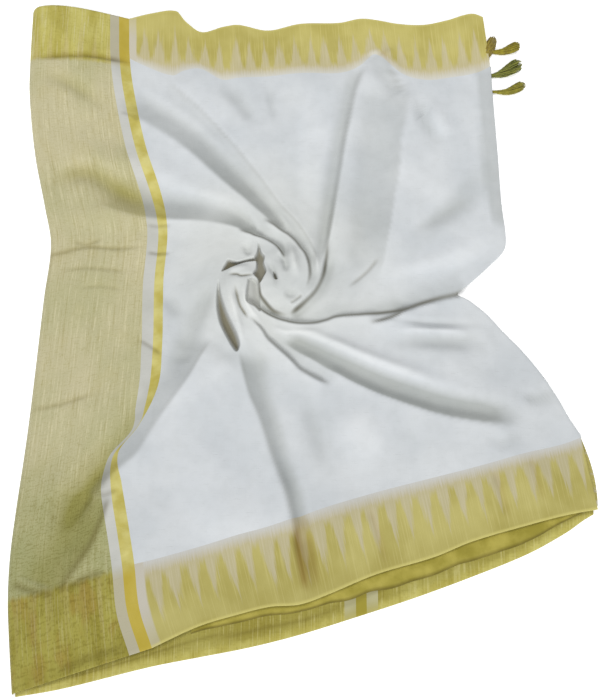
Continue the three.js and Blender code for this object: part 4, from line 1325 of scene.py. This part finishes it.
# ---------------------------------------------------------------------------------------------------
# Tassels: the loose warp ends of the pallu, tied off close to the cloth and left to swell into a soft
# club. Each is a bundle of fine threads round one course.
TASSELS = (  # root, bend, tip, widest half width, where along it is widest, light tone, dark tone
    ((302, 496, 5.2), (310, 517, 8), (320, 543, 8), 9.4, 0.72, tone(152, 136, 46), tone(108, 90, 24)),
    ((309, 518, 4.8), (336, 519, 6), (362, 530, 7.4), 8.6, 0.84, tone(158, 148, 42), tone(122, 108, 24)),
    ((309, 472, 4.8), (334, 478, 6.5), (361, 494, 8.8), 11.2, 0.84, tone(132, 132, 50), tone(90, 96, 38)),
    ((309, 443, 4.8), (338, 443, 5.5), (365, 455, 7.2), 8.2, 0.84, tone(152, 144, 46), tone(112, 106, 30)),
)
THREADS = 96
THREAD_POINTS = 22
GOLDEN_ANGLE = 2.399963
THREAD_RADIUS = 0.62
THREAD_SIDES = 6
ROOT_WIDTH = 0.22  # share of its widest half width that a tassel has at its root
TIP_LOSS = 0.35  # and share that it loses again at its tip
WINDING = 0.9  # how far the threads wind round each other
TANGLE = 0.25  # how far each strays from that
WANDER = 0.07  # and how far from one of its points to the next
LIFT = 0.3  # the lowest threads stay this far off the floor


def tassel_finish(name, light, dark):
    finish = Finish(name, roughness=0.8, sheen=0.25)
    along = finish.mark("along")
    number = finish.mark("number")
    twist = (along * 34 + number * 7.3).fraction()
    fibre = finish.noise(number * 3.1, along * 6, 1.0, 2.0)
    colour = finish.blend(fibre.between(0.3, 0.7), dark, light)
    colour = finish.darken(colour, 0.45 * twist.between(0.6, 1.0), (0.62, 0.6, 0.45))
    colour = finish.darken(colour, 0.6 * (1 - along.between(0.0, 0.25)), (0.6, 0.52, 0.4))
    return finish.done(colour, twist, 0.0003, 0.5)


def thread_tree():
    """Turns each spline into a thin rod. Radius is half its thickness."""
    tree = bpy.data.node_groups.new("threads", "GeometryNodeTree")
    tree.interface.new_socket("Courses", in_out="INPUT", socket_type="NodeSocketGeometry")
    for label, kind in (("Radius", "Float"), ("Sides", "Int"), ("Finish", "Material")):
        tree.interface.new_socket(label, in_out="INPUT", socket_type=f"NodeSocket{kind}")
    tree.interface.new_socket("Threads", in_out="OUTPUT", socket_type="NodeSocketGeometry")
    start = tree.nodes.new("NodeGroupInput")
    end = tree.nodes.new("NodeGroupOutput")
    section = tree.nodes.new("GeometryNodeCurvePrimitiveCircle")
    rods = tree.nodes.new("GeometryNodeCurveToMesh")
    rods.inputs["Fill Caps"].default_value = True
    smooth = tree.nodes.new("GeometryNodeSetShadeSmooth")
    realized = tree.nodes.new("GeometryNodeRealizeInstances")
    finish = tree.nodes.new("GeometryNodeSetMaterial")
    links = (
        (start.outputs["Sides"], section.inputs["Resolution"]),
        (start.outputs["Radius"], section.inputs["Radius"]),
        (start.outputs["Courses"], rods.inputs["Curve"]),
        (section.outputs["Curve"], rods.inputs["Profile Curve"]),
        (rods.outputs["Mesh"], smooth.inputs["Geometry"]),
        (smooth.outputs["Geometry"], realized.inputs["Geometry"]),
        (realized.outputs["Geometry"], finish.inputs["Geometry"]),
        (start.outputs["Finish"], finish.inputs["Material"]),
        (finish.outputs["Geometry"], end.inputs["Threads"]),
    )
    for source, target in links:
        tree.links.new(source, target)
    return tree


threads = thread_tree()
inputs = {item.name: item.identifier for item in threads.interface.items_tree if item.in_out == "INPUT"}


def bundle(root, bend, tip, widest, at, number):
    """Courses of the threads of one tassel, each a row of points."""
    line = course_line((root, bend, tip))
    line = line[np.linspace(0, len(line) - 1, THREAD_POINTS).round().astype(int)]
    runs = np.gradient(line, axis=0)
    level = np.stack([-runs[:, 1], runs[:, 0], 0 * runs[:, 0]], -1)
    level /= np.linalg.norm(level, axis=1)[:, None]
    share = np.linspace(0, 1, THREAD_POINTS)
    swelling = ROOT_WIDTH + (1 - ROOT_WIDTH) * ease(share / at)
    swell = np.where(share < at, swelling, 1 - TIP_LOSS * ((share - at) / (1 - at)) ** 2)
    scatter = np.random.default_rng(40 + number)
    rows = []
    for k in range(THREADS):
        angle = GOLDEN_ANGLE * k + WINDING * share + TANGLE * scatter.normal()
        off = math.sqrt((k + 0.5) / THREADS) * (widest - THREAD_RADIUS) * swell
        row = line + off[:, None] * (np.cos(angle)[:, None] * level + np.sin(angle)[:, None] * [0, 0, 1])
        row += np.cumsum(scatter.normal(0, WANDER, row.shape), axis=0)
        row[:, 2] = np.maximum(row[:, 2], THREAD_RADIUS + LIFT)
        rows.append(row[: THREAD_POINTS - scatter.integers(0, 3)])
    return rows


for number, (root, bend, tip, widest, at, light, dark) in enumerate(TASSELS, 1):
    curve = bpy.data.curves.new(f"courses_{number}", "CURVE")
    curve.dimensions = "3D"
    for row in bundle(root, bend, tip, widest, at, number):
        spline = curve.splines.new("POLY")
        spline.points.add(len(row) - 1)
        spline.points.foreach_set("co", np.column_stack([row * MM + shift, np.ones(len(row))]).ravel())
    courses = bpy.data.objects.new(f"courses_{number}", curve)
    bpy.context.scene.collection.objects.link(courses)
    spin = courses.modifiers.new("threads", "NODES")
    spin.node_group = threads
    spin[inputs["Radius"]] = THREAD_RADIUS * MM
    spin[inputs["Sides"]] = THREAD_SIDES
    spin[inputs["Finish"]] = tassel_finish(f"tassel_thread_{number}", light, dark)
    bpy.context.view_layer.update()
    mesh = bpy.data.meshes.new_from_object(courses.evaluated_get(bpy.context.evaluated_depsgraph_get()))
    mesh.name = f"tassel_threads_{number}"
    bpy.data.objects.remove(courses)
    places = np.empty(len(mesh.vertices) * 3, np.float32)
    mesh.vertices.foreach_get("co", places)
    from_root = np.linalg.norm(places.reshape(-1, 3) - (np.array(root) * MM + shift), axis=1)
    number_of = np.floor(np.arange(len(from_root)) / (THREAD_POINTS * THREAD_SIDES))
    marks = {"along": from_root / from_root.max(), "number": number_of}
    for mark, values in marks.items():
        mesh.attributes.new(mark, "FLOAT", "POINT").data.foreach_set("value", values.astype(np.float32))
    tassel = bpy.data.objects.new(f"tassel_threads_{number}", mesh)
    bpy.context.scene.collection.objects.link(tassel)
    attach(tassel, "root")
    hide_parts(f"tassel_{number}")
